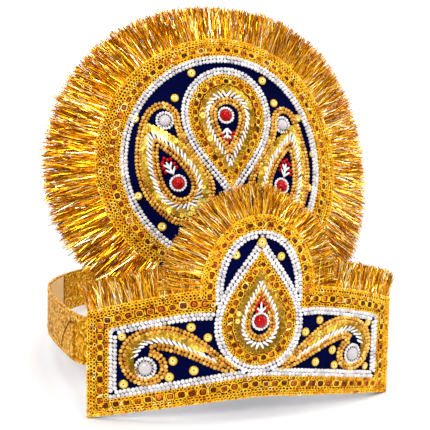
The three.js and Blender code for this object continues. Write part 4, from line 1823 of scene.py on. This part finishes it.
@dataclass
class TinselFringe:
    """Loose foil strands that stand out from an edge, and the tape behind the board that holds them.

    `length`, `spread` and `shine` follow the edge: reach of the strands, how far their tips come forward
    and how much paler they are painted where more light falls. `root` and `tip` are the heights of the
    rearmost and the foremost strands.
    Strands gather in clumps: `waves` has the size, pace and lead of each wave of them, `clump_turn` the size
    and lead of their turning. `cut` is the mean and the deviation of the length, `short` the range of broken
    strands.
    """

    name: str
    surface: Surface
    edge: Path
    length: Course
    spread: Course = np.zeros_like
    shine: Course = np.zeros_like
    density: float = 18.0
    width: float = 0.26
    root: Row = (-2.6, 0.7)
    tip: Row = (-3.0, 0.8)
    sunk: float = 0.8
    mixing: float = 0.3
    taper: float = 0.3
    thickness: Row = (0.7, 1.3)
    bends: int = 4
    kink: float = 0.35
    sway: float = 0.08
    twist: float = 3.0
    clump: float = 5.5
    waves: tuple[Size, ...] = ((1.0, 1.0, 0.0), (0.6, 0.47, 1.0), (0.5, 2.3, 0.4))
    clump_turn: Row = (0.06, 0.8)
    clump_reach: float = 0.025
    cut: Row = (-0.03, 0.045)
    short: Row = (0.5, 1.0)
    short_share: float = 0.25
    tone: float = 0.53
    # Painted light and shade of the strands: paler clumps and front strands, and painted glints along the
    # foil.
    clump_tone: float = 0.1
    layer_tone: float = 0.2
    uneven: float = 0.34
    palest: float = 0.8
    foil_tone: float = 0.22
    foil_pace: float = 1.3
    glint: float = 0.7
    glint_share: float = 0.16
    tape: float = 3.6
    tape_h: float = -2.8
    tape_wall: float = 1.2

    def build(self, shop: Workshop) -> None:
        """Builds the strands and the tape.

        Args:
            shop: maker of the pieces.
        """
        rng = shop.rng
        mold = Mold.strand(self.bends)
        count = int(self.edge.length * self.density)
        share = (np.arange(count) + rng.random(count)) / count
        places, heading = self.edge.at(share * self.edge.length)
        phase = share * self.edge.length / self.clump * 2 * math.pi
        wave = sum(size * np.sin(phase * pace + lead) for size, pace, lead in self.waves)
        turn, lead = self.clump_turn
        out = heading + math.pi / 2 + turn * np.cos(phase + lead) + rng.normal(0, self.sway, count)
        reach = self.length(share) * (1.0 + self.clump_reach * wave + rng.normal(*self.cut, count))
        reach *= np.where(rng.random(count) < self.short_share, rng.uniform(*self.short, count), 1.0)
        layer = rng.random(count)
        root = blend(self.root, layer)
        tip = blend(self.tip, np.clip(layer + rng.normal(0, self.mixing, count), 0, 1)) + self.spread(share)

        base, axes = self.surface.frames(*places.T, np.zeros(count))
        cos, sin = np.cos(out)[:, None], np.sin(out)[:, None]
        ways = (cos * axes[:, 0] + sin * axes[:, 1], cos * axes[:, 1] - sin * axes[:, 0], axes[:, 2])
        x, y, z = mold.verts.T[:, None]
        row = np.round(mold.verts[:, 2] * self.bends).astype(int)
        kinks = rng.normal(0, self.kink, (count, self.bends + 1))[:, row]
        aside = (rng.normal(0, self.sway, count) * reach)[:, None] * z ** 2 + kinks * z
        spin = rng.uniform(0, 2 * math.pi, count)[:, None] + rng.normal(0, self.twist, count)[:, None] * z
        thick = self.width * (1.0 - self.taper * z) * rng.uniform(*self.thickness, count)[:, None]
        run = reach[:, None] * z - self.sunk
        aside = aside + thick * (x * np.cos(spin) - y * np.sin(spin))
        height = root[:, None] + (tip - root)[:, None] * z + thick * (x * np.sin(spin) + y * np.cos(spin))
        moves = zip((run, aside, height), ways)
        verts = base[:, None] + MM * sum(amount[:, :, None] * way[:, None] for amount, way in moves)
        # Painted light: strands painted paler where more light falls along the edge.
        tones = self._tones(rng, wave, layer, spin) + self.shine(share)[:, None]
        shop.weld(f"{self.name}_strands", mold, verts, tones, TINSEL, [self.name])
        self._tape(shop)

    def _tones(self, rng: np.random.Generator, wave: Array, layer: Array, spin: Array) -> Array:
        """Painted light and shade of each strand along its length: painted shade far back and between clumps,
        and painted glints where the foil turns.

        Args:
            rng: source of the unevenness.
            wave: clumping of each strand, which also sets its painted light.
            layer: how far forward each strand is, from 0 to 1.
            spin: turn of the foil at each corner.

        Returns:
            Tone of each corner of each strand.
        """
        count = len(wave)
        # Painted shade on the rearmost strands and between clumps; clumps and front strands are paler.
        tone = self.tone + self.clump_tone * wave + self.layer_tone * layer
        tone = np.clip(tone + rng.normal(0, self.uneven, count), 0, self.palest)
        # Painted glints where the foil turns, whiter on some strands.
        glint = np.where(rng.random(count) < self.glint_share, self.glint, 0.0)
        foil = (self.foil_tone + glint[:, None]) * np.sin(spin * self.foil_pace)
        return np.clip(tone[:, None] + foil, 0, 1)

    def _tape(self, shop: Workshop) -> None:
        """Woven tape on the back of the board.

        Args:
            shop: maker of the pieces.
        """
        inner, outer = self.edge.beside(-self.tape), self.edge.beside(-0.2)

        def shape(x: Array, y: Array) -> Array:
            """Place on the tape at two shares.

            Args:
                x: shares along it.
                y: shares across it.

            Returns:
                Places as u, v and h.
            """
            up = y[:, None]
            flat = inner.place(x * inner.length) * (1 - up) + outer.place(x * outer.length) * up
            return np.column_stack([flat, np.full(len(x), self.tape_h)])

        bm = shop.sheet(120, 3, shape, self.tape_wall)
        shop.solid(f"{self.name}_tape", bm, self.surface, TAPE)


@dataclass
class HeadStrap:
    """Glitter strap that closes the ring behind the head, with a lining and a sewn tab.

    `tab` and `lining` are shares of the strap's length.
    """

    half: float = 92.2
    widest: float = 95.0
    front: float = 186.0
    rear: float = 100.2
    low: float = 25.0
    wide: float = 24.5
    wall: float = 1.6
    behind: float = -3.6
    sewn: Row = (76.0, 83.5)
    sides: tuple[float, ...] = (66.0, 55.0, 35.0, 15.0)
    turns: tuple[float, ...] = (0.0, 18.0, 36.0, 54.0, 72.0)
    tab: Row = (0.046, 0.086)
    tab_out: float = 1.3
    tab_wall: float = 1.0
    tab_rise: float = 3.5
    tab_tall: float = 0.7
    tab_bend: float = 1.5
    tab_round: float = 0.7
    lining: Row = (0.7, 0.778)
    lining_wall: float = 0.4
    hem: float = 1.6
    stitch: float = 3.0
    stitch_half: Size = (1.1, 0.3, 0.25)
    # Dark stitches along the lining's seam, and round the tab as its painted shadow.
    seam_gap: float = 1.0
    seam_half: Size = (0.8, 0.55, 0.4)

    def line(self) -> Path:
        """Middle of the strap seen from above, from its sewn end on the left.

        Returns:
            The line.
        """
        left = []
        for u in self.sewn:
            turn, out = u / BAND.radius, BAND.radius + self.behind
            left.append((-out * math.sin(turn), BAND.radius - out * math.cos(turn)))
        left += [(-self.half * math.sqrt(1 - (y / self.front) ** 2), self.widest - y) for y in self.sides]
        for degrees in self.turns:
            turn = math.radians(degrees)
            left.append((-self.half * math.cos(turn), self.widest + self.rear * math.sin(turn)))
        right = [(-x, y) for x, y in left[::-1]]
        return Path.through([*left, (0.0, self.widest + self.rear), *right])

    def build(self, shop: Workshop) -> None:
        """Args:
            shop: maker of the pieces.
        """
        line = self.line()
        wall = StrapWall(line)
        total = line.length
        half = self.wall / 2

        def body(x: Array, y: Array) -> Array:
            """Place on the outside of the strap at two shares."""
            return np.column_stack([x * total, self.low + self.wide * y, np.full(len(x), half)])

        bm = shop.sheet(180, 8, body, self.wall)
        strap = shop.solid("strap_cloth", bm, wall, GLITTER, ["strap"])
        start, end = (total * (1 - share) for share in self.tab)

        def flap(x: Array, y: Array) -> Array:
            """Place on the outside of the tab at two shares.

            Args:
                x: shares along it.
                y: shares across it.

            Returns:
                Places as u, v and h.
            """
            low = self.low + 1 + x ** 6
            arc = np.clip(1 - x ** self.tab_bend, 0, 1) ** self.tab_round
            high = self.low + self.tab_rise + self.tab_tall * self.wide * arc
            out = np.full(len(x), half + self.tab_out)
            return np.column_stack([start + (end - start) * x, low + (high - low) * y, out])

        bm = shop.sheet(24, 6, flap, self.tab_wall)
        tab = shop.solid("strap_tab_cloth", bm, wall, GLITTER, ["strap_tab"])
        hems = self._hems(shop, wall, total)

        def inside(x: Array, y: Array) -> Array:
            """Place on the lining at two shares."""
            along = total * blend(self.lining, x)
            return np.column_stack([along, self.low + 1 + (self.wide - 2) * y, np.full(len(x), -half - 0.1)])

        bm = shop.sheet(20, 6, inside, self.lining_wall)
        lining = shop.solid("strap_lining", bm, wall, LINING)
        edge = flap(np.linspace(0, 1, 40), np.ones(40))[:, :2]
        # Dark stitches close the lining, and round the tab they paint the shadow of its edge.
        self._seams(shop, wall, (self.lining[0] * total, -half - 0.55), (edge, half + 1.25))
        share = np.linspace(0, 1, 50)
        tall = flap(share, np.ones(50))[:, 1] - flap(share, np.zeros(50))[:, 1]

    def _seams(
        self, shop: Workshop, wall: StrapWall, upright: Row, tab: tuple[Array, float],
    ) -> None:
        """Dark stitch rows: a seam at the end of the lining, and round the tab a painted shadow of its edge;
        each is given by its line and its height.

        Args:
            shop: maker of the pieces.
            wall: surface of the strap.
            upright: place along the strap and height of the lining's seam.
            tab: line and height of the painted shadow round the tab.
        """
        u, inner = upright
        end = Path(np.array([(u, self.low + 0.8), (u, self.low + self.wide - 0.8)]))
        edge, outer = tab
        courses = ((end, inner), (Path(edge), outer))
        laid = [Spots.lay(path.spaced(self.seam_gap), self.seam_half, h=h) for path, h in courses]
        spots = Spots.joined(laid).loose(shop.rng, shift=0.08, turn=0.1)
        # Painted shadow: the dark stitches round the tab stand in for the shadow of its edge.
        shop.scatter("strap_seams", Mold.seed(), wall, spots, WEAVE_AND_SHADE)

    def _hems(self, shop: Workshop, wall: StrapWall, total: float) -> bpy.types.Object:
        """Rows of stitches along both edges, on both faces.

        Args:
            shop: maker of the pieces.
            wall: surface of the strap.
            total: length of the strap.

        Returns:
            The piece.
        """
        rows = []
        for v in (self.low + self.hem, self.low + self.wide - self.hem):
            where = Path(np.array([(0.5, v), (total - 0.5, v)])).spaced(self.stitch)
            for face in (1, -1):
                rows.append(Spots.lay(where, self.stitch_half, h=face * (self.wall / 2 + 0.08)))
        spots = Spots.joined(rows).loose(shop.rng, shift=0.08, turn=0.05)
        return shop.scatter("strap_hems", Mold.seed(), wall, spots, THREAD)


@dataclass
class FrontBand:
    """Trims of the front band.

    `arch_row` is the half width, top and foot of the white rows in the arch, `arch_fringe` the length of the
    arch's fringe at its right end and what the left end adds, `arch_dent` the depth, place and width of the
    dent in it.
    """

    drop: DropPlace = DropPlace(0.2, 47.0)
    white: tuple[Ring, Ring] = (Ring(19.9, 38.5, 21.1), Ring(23.8, 46.5, 25.3))
    braid: tuple[Ring, Ring] = (Ring(12.6, 27.5, 14.2), Ring(19.6, 37.8, 20.8))
    sequins: tuple[Ring, Ring] = (Ring(10.9, 24.2, 12.4), Ring(12.3, 26.8, 13.9))
    bugle: Ring = Ring(9.1, 21.6, 11.0)
    gold: tuple[Ring, Ring] = (Ring(5.9, 15.6, 6.2), Ring(7.7, 18.9, 8.0))
    border: Row = (10.8, 0.4)
    arch_row: Size = (23.2, 94.6, 50.0)
    bead: float = 2.3
    near: float = 11.1
    wing_fringe: float = 14.5
    arch_fringe: Row = (14.0, 8.0)
    arch_dent: Size = (3.0, 0.62, 0.08)

    def build(self, shop: Workshop) -> None:
        """Builds the border, the white rows, the middle drop and both side panels.

        Args:
            shop: maker of the pieces.
        """
        board = BAND.board
        StoneBraid(
            "border", board, lambda share: BAND.border(blend(self.border, share)),
            links=((0.09, 2.1), (0.66, 2.1), (0.81, 2.1), (0.95, 2.0)), stone_at=0.38, stone=1.28, frame=1.9,
            gap=5.4, columns=420,
        ).build(shop)
        BeadRows("white_front", board, self._white(), self.bead, PEARL, Slot.WHITE).build(shop)
        StoneBraid(
            "front_drop", board, lambda share: self.drop.between(self.braid, share),
            links=((0.12, 1.7), (0.86, 1.8)), stone_at=0.5, stone=1.1, frame=1.7, gap=4.5,
        ).build(shop)
        SequinField(
            "field_front", board, [self.drop.outline(ring) for ring in self.sequins],
            # Painted light: a little paler at both ends of each row.
            lambda share: 0.1 + 0.05 * np.cos(2 * math.pi * share), sequin=2.6, gap=1.5,
        ).build(shop)
        BeadedDrop(
            "front", board, self.drop, self.gold, self.bugle, FRONT_SPRIG, ray=3.65, ray_gap=(2.2, 2.3),
            slant=(0.4, 1.02), dome_at=(0.3, 1.4), bead=2.0,
        ).build(shop)
        for side in Side:
            SidePanel(side).build(shop)
        CupSequins("arch_cups", board, [(-13.0, 82.3), (11.0, 81.0)], radius=2.2).build(shop)
        CupSequins("apex_cup", board, [(-0.6, 88.6)], radius=2.6, h=2.5).build(shop)
        CupSequins("drop_cups", board, [(-11.4, 53.0), (-11.9, 49.2)], radius=1.5, h=1.6).build(shop)
        self._fringes(shop, board)

    def _white(self) -> list[Path]:
        """Both rows of the arch, of the middle drop and of the side panels' frames.

        Returns:
            The rows, in the order in which they are laid.
        """
        half, top, foot = self.arch_row
        rows = [self.drop.between(self.white, share) for share in WHITE_ROWS]
        for inset in (1.0, 3.0):
            rows.append(BAND.arch(half - inset, top - inset, BAND.arch_square, foot))
        for inset in (self.near + 1.0, self.near + 3.0):
            bottom = BAND.bottom(inset, BAND.half - inset)
            rows.append(bottom)
            for side in Side:
                u = np.linspace(half - 2, BAND.half - inset, 40)
                wing = np.column_stack([u * side.value, BAND.wing(u) - inset])
                rows.append(Path(wing))
                end, high = wing[-1]
                rows.append(Path(np.array([(end, high - 1.0), (end, bottom.points[-1, 1] + 1.0)])))
        return rows

    def _fringes(self, shop: Workshop, board: Board) -> None:
        """Fringe over the arch and along both wings.

        Args:
            shop: maker of the pieces.
            board: face of the band.
        """
        arch = BAND.arch(BAND.arch_half, BAND.arch_top, 2.0, BAND.wing_top)

        base, more = self.arch_fringe
        depth, middle, width = self.arch_dent

        def length(share: Array) -> Array:
            """Longer to the left, and shorter before the dome on the right."""
            return base + more * (1 - share) ** 2 - depth * np.exp(-((share - middle) / width) ** 2)

        TinselFringe("fringe_arch", board, arch.part(0.04, 0.96), length).build(shop)
        for side in Side:
            u = np.linspace(33.0, BAND.half - 0.3, 90)[::side.value] * side.value
            wing = Path(np.column_stack([u, BAND.wing(u)]))
            TinselFringe(
                f"fringe_{side.label}", board, wing, lambda share: np.full_like(share, self.wing_fringe),
            ).build(shop)


@dataclass
class SidePanel:
    """Scroll, sequins, barbs, jewel and cups of one side of the band, measured outwards from its middle."""

    side: Side
    upper: tuple[Row, ...] = (
        (12.8, 24.4), (17.6, 28.0), (21.6, 31.4), (25.6, 34.7), (30.6, 38.5), (35.6, 41.8), (41.0, 44.2),
        (47.0, 45.6), (54.3, 45.0), (61.0, 42.6), (66.2, 38.4), (68.6, 32.0), (67.2, 25.4), (63.0, 20.6),
        (57.0, 19.1), (51.6, 20.6), (48.4, 24.6), (48.7, 29.0), (51.4, 32.4), (55.4, 34.2),
    )
    lower: tuple[Row, ...] = (
        (12.0, 23.8), (17.4, 25.0), (23.0, 27.0), (29.0, 29.8), (35.2, 32.6), (41.0, 35.0), (46.5, 36.4),
        (51.5, 36.8), (55.8, 34.8),
    )
    barb: tuple[Row, ...] = (
        (21.6, 28.6), (28.4, 31.8), (35.0, 34.9), (41.0, 37.7), (47.6, 39.8), (53.6, 40.1), (58.6, 38.2),
        (61.8, 34.6), (63.2, 30.4),
    )
    sequins: tuple[Row, ...] = (
        (29.0, 34.8), (33.4, 37.6), (39.0, 40.7), (46.0, 42.6), (54.4, 42.5), (60.8, 39.6), (64.6, 34.0),
        (64.8, 27.4), (62.2, 23.2),
    )
    cups: tuple[Row, ...] = (
        (69.0, 41.6), (35.0, 46.5), (26.5, 41.0), (43.8, 29.6), (45.5, 21.2), (33.1, 24.4), (68.0, 17.5),
    )
    jewel: Size = (57.4, 25.9, 5.5)
    slant: Row = (0.45, 0.8)
    barb_gap: float = 2.75
    barb_size: Row = (5.0, 1.38)

    def build(self, shop: Workshop) -> None:
        """Builds every piece of the panel.

        Args:
            shop: maker of the pieces.
        """
        board, sign, label = BAND.board, self.side.value, self.side.label
        lines = [Path.through(rows, sign) for rows in (self.upper, self.lower)]
        rows = [line.beside(shift) for line in lines for shift in OUTLINE_ROWS]
        BeadRows(f"scroll_{label}", board, rows, OUTLINE_BEAD, AMBER, Slot.GOLD).build(shop)
        line = Path.through(self.sequins, sign)
        rows = [line.beside(shift) for shift in (-0.8, 0.8)]
        SequinField(
            # Painted light: paler at the start of each row, darker towards its end.
            f"field_scroll_{label}", board, rows, lambda share: 0.74 - 0.58 * share ** 0.8,
        ).build(shop)
        places, heading = Path.through(self.barb, sign).spaced(self.barb_gap)
        turn = np.linspace(*self.slant, len(heading))
        TubeBeads(f"bugle_barb_{label}", board, *self.barb_size).build(shop, places, heading + sign * turn)
        u, v, radius = self.jewel
        Jewel(f"jewel_panel_{label}", board, sign * u, v, radius).build(shop)
        CupSequins(f"panel_cups_{label}", board, [(sign * u, v) for u, v in self.cups]).build(shop)


@dataclass
class HaloFace:
    """Trims of the halo.

    `fringe` is the length of the fringe at the top and what the sides add, `fringe_end` where the cut at both
    ends starts and its share, `fringe_shine` the most that strands are painted paler for the light over the
    top and the right side, where that starts and its run.
    """

    drop: DropPlace = DropPlace(HALO.axis, 25.5, math.pi)
    white: tuple[Ring, Ring] = (Ring(22.2, 42.0, 23.2), Ring(26.4, 50.0, 27.4))
    braid: tuple[Ring, Ring] = (Ring(14.7, 33.6, 15.4), Ring(21.9, 41.3, 22.9))
    sequins: tuple[Ring, Ring] = (Ring(13.2, 30.0, 14.1), Ring(14.4, 32.9, 15.1))
    bugle: Ring = Ring(11.8, 28.0, 12.4)
    gold: tuple[Ring, Ring] = (Ring(7.4, 19.6, 7.2), Ring(9.5, 23.4, 9.3))
    bead: float = 2.3
    white_ring: Row = (58.6, 56.5)
    cups: tuple[Row, ...] = (
        (-18.3, 49.5), (-28.5, 35.3), (-50.7, 24.5), (-25.0, 14.1), (-57.9, 0.0), (-50.8, -18.3),
        (-38.7, -35.7), (23.7, 46.7), (30.5, 34.1), (47.3, 26.7), (26.0, 12.7), (56.7, 6.1), (51.7, -14.0),
    )
    pale_sequins: tuple[Row, ...] = ((-13.6, 25.0), (-10.2, 11.8))
    fringe: Row = (19.8, 10.2)
    fringe_power: float = 1.5
    fringe_spread: float = 2.0
    fringe_end: Row = (0.93, 0.4)
    fringe_shine: Size = (0.12, 0.32, 0.16)

    def build(self, shop: Workshop) -> None:
        """Builds the rim, the ring, the middle drop, both paisleys and the fringe.

        Args:
            shop: maker of the pieces.
        """
        board = HALO.board
        StoneBraid(
            "halo_rim", board, HALO.rim,
            links=((0.07, 2.1), (0.19, 1.5), (0.53, 2.0), (0.67, 2.2), (0.81, 2.2), (0.95, 2.2)),
            stone_at=0.35, stone=1.2, frame=1.8, gap=5.0, columns=300,
        ).build(shop)
        rows = [HALO.arc(radius, radius) for radius in self.white_ring]
        BeadRows("white_halo_ring", board, rows, self.bead, PEARL, Slot.WHITE).build(shop)
        rows = [self.drop.between(self.white, share) for share in WHITE_ROWS]
        BeadRows("white_halo_drop", board, rows, self.bead, PEARL, Slot.WHITE).build(shop)
        StoneBraid(
            "halo_drop", board, lambda share: self.drop.between(self.braid, share),
            links=((0.12, 1.7), (0.86, 1.8)), stone_at=0.52, stone=1.1, frame=1.7, gap=4.6,
        ).build(shop)
        SequinField(
            "field_halo", board, [self.drop.between(self.sequins, share) for share in (-0.4, 1.0)],
            # Painted light: a bright patch past the middle of the rows, and paler beyond it.
            lambda share: 0.12 + 0.6 * np.exp(-((share - 0.56) / 0.1) ** 2) + 0.2 * (share > 0.6), sequin=2.8,
        ).build(shop)
        BeadedDrop(
            "halo", board, self.drop, self.gold, self.bugle, HALO_SPRIG, dome_at=(1.0, 0.0),
        ).build(shop)
        for side in Side:
            Paisley(side).build(shop)
        CupSequins("halo_cups", board, self.cups, radius=2.35).build(shop)
        CupSequins("field_cups", board, self.pale_sequins, radius=2.0, h=1.6).build(shop)
        TinselFringe(
            "fringe_halo", board, HALO.rim(1.0), self._reach,
            spread=lambda share: self.fringe_spread * self._aside(share), shine=self._shine,
            density=20.0, tone=0.29, uneven=0.24,
        ).build(shop)

    def _aside(self, share: Array) -> Array:
        """0 at the top of the halo, 1 at its sides."""
        return np.abs(np.sin((2 * share - 1) * HALO.rim_turn)) ** self.fringe_power

    def _shine(self, share: Array) -> Array:
        """Painted light: how much paler the strands are painted over the top and down the right side, where
        more light falls.
        """
        most, start, run = self.fringe_shine
        return most * np.clip((share - start) / run, 0, 1)

    def _reach(self, share: Array) -> Array:
        """Strand length, cut shorter at both ends of the rim.

        Args:
            share: shares of the rim's length.

        Returns:
            Lengths of the strands.
        """
        base, more = self.fringe
        start, cut = self.fringe_end
        end = np.clip((np.abs(2 * share - 1) - start) / (1 - start), 0, 1)
        return (base + more * self._aside(share)) * (1 - cut * end)


@dataclass(frozen=True)
class PaisleyPlace:
    """What differs between the paisleys: place and lean of the drop, jewel, outer side of the outline."""

    drop: Size
    jewel: Row
    outer: tuple[Row, ...]


PAISLEYS = {
    Side.LEFT: PaisleyPlace(
        drop=(29.6, -12.3, math.radians(26)),
        jewel=(35.3, 22.6),
        outer=(
            (36.0, 31.2), (41.8, 29.2), (45.6, 24.4), (48.2, 17.7), (49.8, 10.4), (50.6, 3.0), (50.2, -5.2),
            (47.9, -14.5), (43.8, -22.2), (38.4, -28.2),
        ),
    ),
    Side.RIGHT: PaisleyPlace(
        drop=(31.2, -13.9, math.radians(17)),
        jewel=(34.2, 21.6),
        outer=(
            (34.6, 30.2), (40.0, 28.4), (43.8, 22.4), (46.4, 14.4), (48.9, 5.4), (49.6, -3.9), (48.6, -12.7),
            (46.2, -20.6), (41.0, -28.0),
        ),
    ),
}


@dataclass
class Paisley:
    """Gold outline, sequins, drop and jewel of one side of the halo."""

    side: Side
    inner: tuple[Row, ...] = (
        (30.5, -33.4), (19.5, -31.4), (12.4, -22.0), (11.8, -12.0), (16.8, -3.0), (22.2, 5.0), (26.6, 13.0),
        (28.4, 20.0), (29.8, 27.0),
    )
    fullness: float = 0.78
    sequins: tuple[Ring, Ring] = (Ring(12.9, 33.0, 15.6), Ring(15.0, 36.0, 18.2))
    bugle: Ring = Ring(11.3, 30.6, 14.0)
    gold: tuple[Ring, Ring] = (Ring(7.5, 23.2, 9.4), Ring(9.6, 27.0, 11.5))
    jewel: float = 5.0

    def build(self, shop: Workshop) -> None:
        """Builds every piece of the paisley.

        Args:
            shop: maker of the pieces.
        """
        board, sign, label = HALO.board, self.side.value, self.side.label
        own = PAISLEYS[self.side]
        line = Path.through(own.outer + self.inner, sign, HALO.axis, closed=True)
        rows = [line.beside(shift) for shift in OUTLINE_ROWS]
        BeadRows(f"loop_{label}", board, rows, OUTLINE_BEAD, AMBER, Slot.GOLD).build(shop)
        u, v, turn = own.drop
        place = DropPlace(HALO.axis + sign * u, v, sign * turn, self.fullness)
        rows = [place.between(self.sequins, share) for share in (0.1, 0.95)]
        SequinField(
            # Painted light: paler at the ends and in the middle of each row.
            f"field_{label}", board, rows, lambda share: 0.54 + 0.14 * np.cos(4 * math.pi * share), gap=2.4,
        ).build(shop)
        BeadedDrop(
            label, board, place, self.gold, self.bugle, PAISLEY_SPRIG, ray=5.0, ray_gap=(2.6, 2.8),
            slant=(0.55, 0.96), stroke=1.45,
        ).build(shop)
        u, v = own.jewel
        Jewel(f"jewel_halo_{label}", board, HALO.axis + sign * u, v, self.jewel).build(shop)


# Studio


@dataclass(frozen=True)
class SoftBox:
    """Square area light: its place, power, edge and the point that it looks at, in metres and watts."""

    name: str
    place: Size
    power: float
    size: float = 0.5
    target: Size = (0.0, 0.0, 0.1)
    color: Color = (1.0, 0.97, 0.935)

    def build(self) -> None:
        """Adds the light."""
        data = bpy.data.lights.new(self.name, "AREA")
        data.shape = "SQUARE"
        data.size = self.size
        data.energy = self.power
        data.color = self.color
        light = bpy.data.objects.new(self.name, data)
        turn = (Vector(self.target) - Vector(self.place)).to_track_quat("-Z", "Y").to_matrix().to_4x4()
        light.matrix_world = Matrix.Translation(self.place) @ turn
        bpy.context.scene.collection.objects.link(light)


@dataclass
class Studio:
    """Camera, lights and floor; the camera is in millimetres and pixels, the floor in metres."""

    azimuth: float = -0.32732
    elevation: float = 0.233395
    distance: float = 401.29
    roll: float = 0.065235
    focus: float = 853.58
    frame: float = 430.0
    sensor: float = 36.0
    target: Size = (-29.505, -100.7, 107.986)
    floor_half: float = 3.0
    floor_front: float = -2.0
    floor_rear: float = 1.2
    sweep: float = 0.8
    sweep_top: float = 2.6
    lights: tuple[SoftBox, ...] = (
        SoftBox("key_light", (-0.75, -0.95, 0.95), 13.5),
        SoftBox("top_light", (0.0, 0.1, 1.5), 12.5, size=1.2),
        SoftBox("fill_light", (0.35, -1.25, 0.55), 4.0),
        SoftBox("side_light", (1.2, -0.05, 0.75), 8.0),
        SoftBox("wall_light", (0.3, 0.8, 1.3), 36.0, size=1.5, target=(0.4, 2.0, 0.8)),
    )

    def build(self) -> None:
        """Sets up the camera, the floor, the lights and the surroundings."""
        self._camera()
        self._floor()
        for light in self.lights:
            light.build()
        self._surroundings()
        bpy.context.scene.view_settings.view_transform = "Standard"
        LOG.info("studio: ready")

    def _camera(self) -> None:
        """Camera at the photograph's viewing angle."""
        sin_a, cos_a = math.sin(self.azimuth), math.cos(self.azimuth)
        sin_e, cos_e = math.sin(self.elevation), math.cos(self.elevation)
        back = Vector((sin_a * cos_e, -cos_a * cos_e, sin_e))
        right = Vector((cos_a, sin_a, 0.0))
        up = back.cross(right)
        cos_r, sin_r = math.cos(self.roll), math.sin(self.roll)
        axes = (right * cos_r + up * sin_r, up * cos_r - right * sin_r, back)
        data = bpy.data.cameras.new("camera")
        data.sensor_fit = "HORIZONTAL"
        data.sensor_width = self.sensor
        data.lens = self.sensor * self.focus / self.frame
        data.clip_start = 0.01
        camera = bpy.data.objects.new("camera", data)
        turn = Matrix(axes).transposed().to_4x4()
        camera.matrix_world = Matrix.Translation((Vector(self.target) + back * self.distance) * MM) @ turn
        bpy.context.scene.collection.objects.link(camera)
        bpy.context.scene.camera = camera

    def _floor(self) -> None:
        """Pale floor that sweeps up behind the crown."""
        rear, sweep = self.floor_rear, self.sweep
        rows = [(self.floor_front, 0.0), (rear, 0.0)]
        for turn in np.linspace(0.1, math.pi / 2, 14):
            rows.append((rear + sweep * math.sin(turn), sweep - sweep * math.cos(turn)))
        rows.append((rear + sweep, self.sweep_top))
        bm = bmesh.new()
        verts = [bm.verts.new((-self.floor_half, y, z)) for y, z in rows]
        edges = [bm.edges.new(pair) for pair in zip(verts, verts[1:])]
        grown = bmesh.ops.extrude_edge_only(bm, edges=edges)["geom"]
        moved = [item for item in grown if isinstance(item, bmesh.types.BMVert)]
        bmesh.ops.translate(bm, verts=moved, vec=(2 * self.floor_half, 0, 0))
        floor = bpy.data.objects.new("studio_floor", smooth_mesh("studio_floor", bm))
        bpy.context.scene.collection.objects.link(floor)
        GROUND.dress(floor)

    def _surroundings(self) -> None:
        """Room that is pale behind the crown and above it, and dark with some bright patches before it."""
        world = bpy.data.worlds.new("studio")
        world.use_nodes = True
        nodes = Nodes(world.node_tree)
        way = nodes.node("ShaderNodeTexCoord", output="Generated")
        cloud = nodes.node("ShaderNodeTexNoise", None, {"Vector": way, "Scale": 2.6, "Detail": 1.0})
        back = nodes.node("ShaderNodeSeparateXYZ", None, {0: way}, 1)
        patches = nodes.ramp(cloud, ((0.44, "1C1A18"), (0.54, "6A6866"), (0.62, "FFFFFF")))
        pale = nodes.ramp(back * 0.5 + 0.5, ((0.45, "000000"), (0.7, "FFFFFF")))
        color = nodes.mix(pale, patches, tint("F4F4F6"))
        light = nodes.node("ShaderNodeBackground", None, {"Color": color, "Strength": 1.0})
        nodes.node_out("ShaderNodeOutputWorld", light)
        bpy.context.scene.world = world


def main() -> None:
    """Builds the crown in order, then the studio."""
    logging.basicConfig(level=logging.INFO, format="%(name)s %(message)s")
    shop = Workshop()
    VelvetBoards().build(shop)
    HeadStrap().build(shop)
    FrontBand().build(shop)
    HaloFace().build(shop)
    Studio().build()


if __name__ == "__main__":
    main()
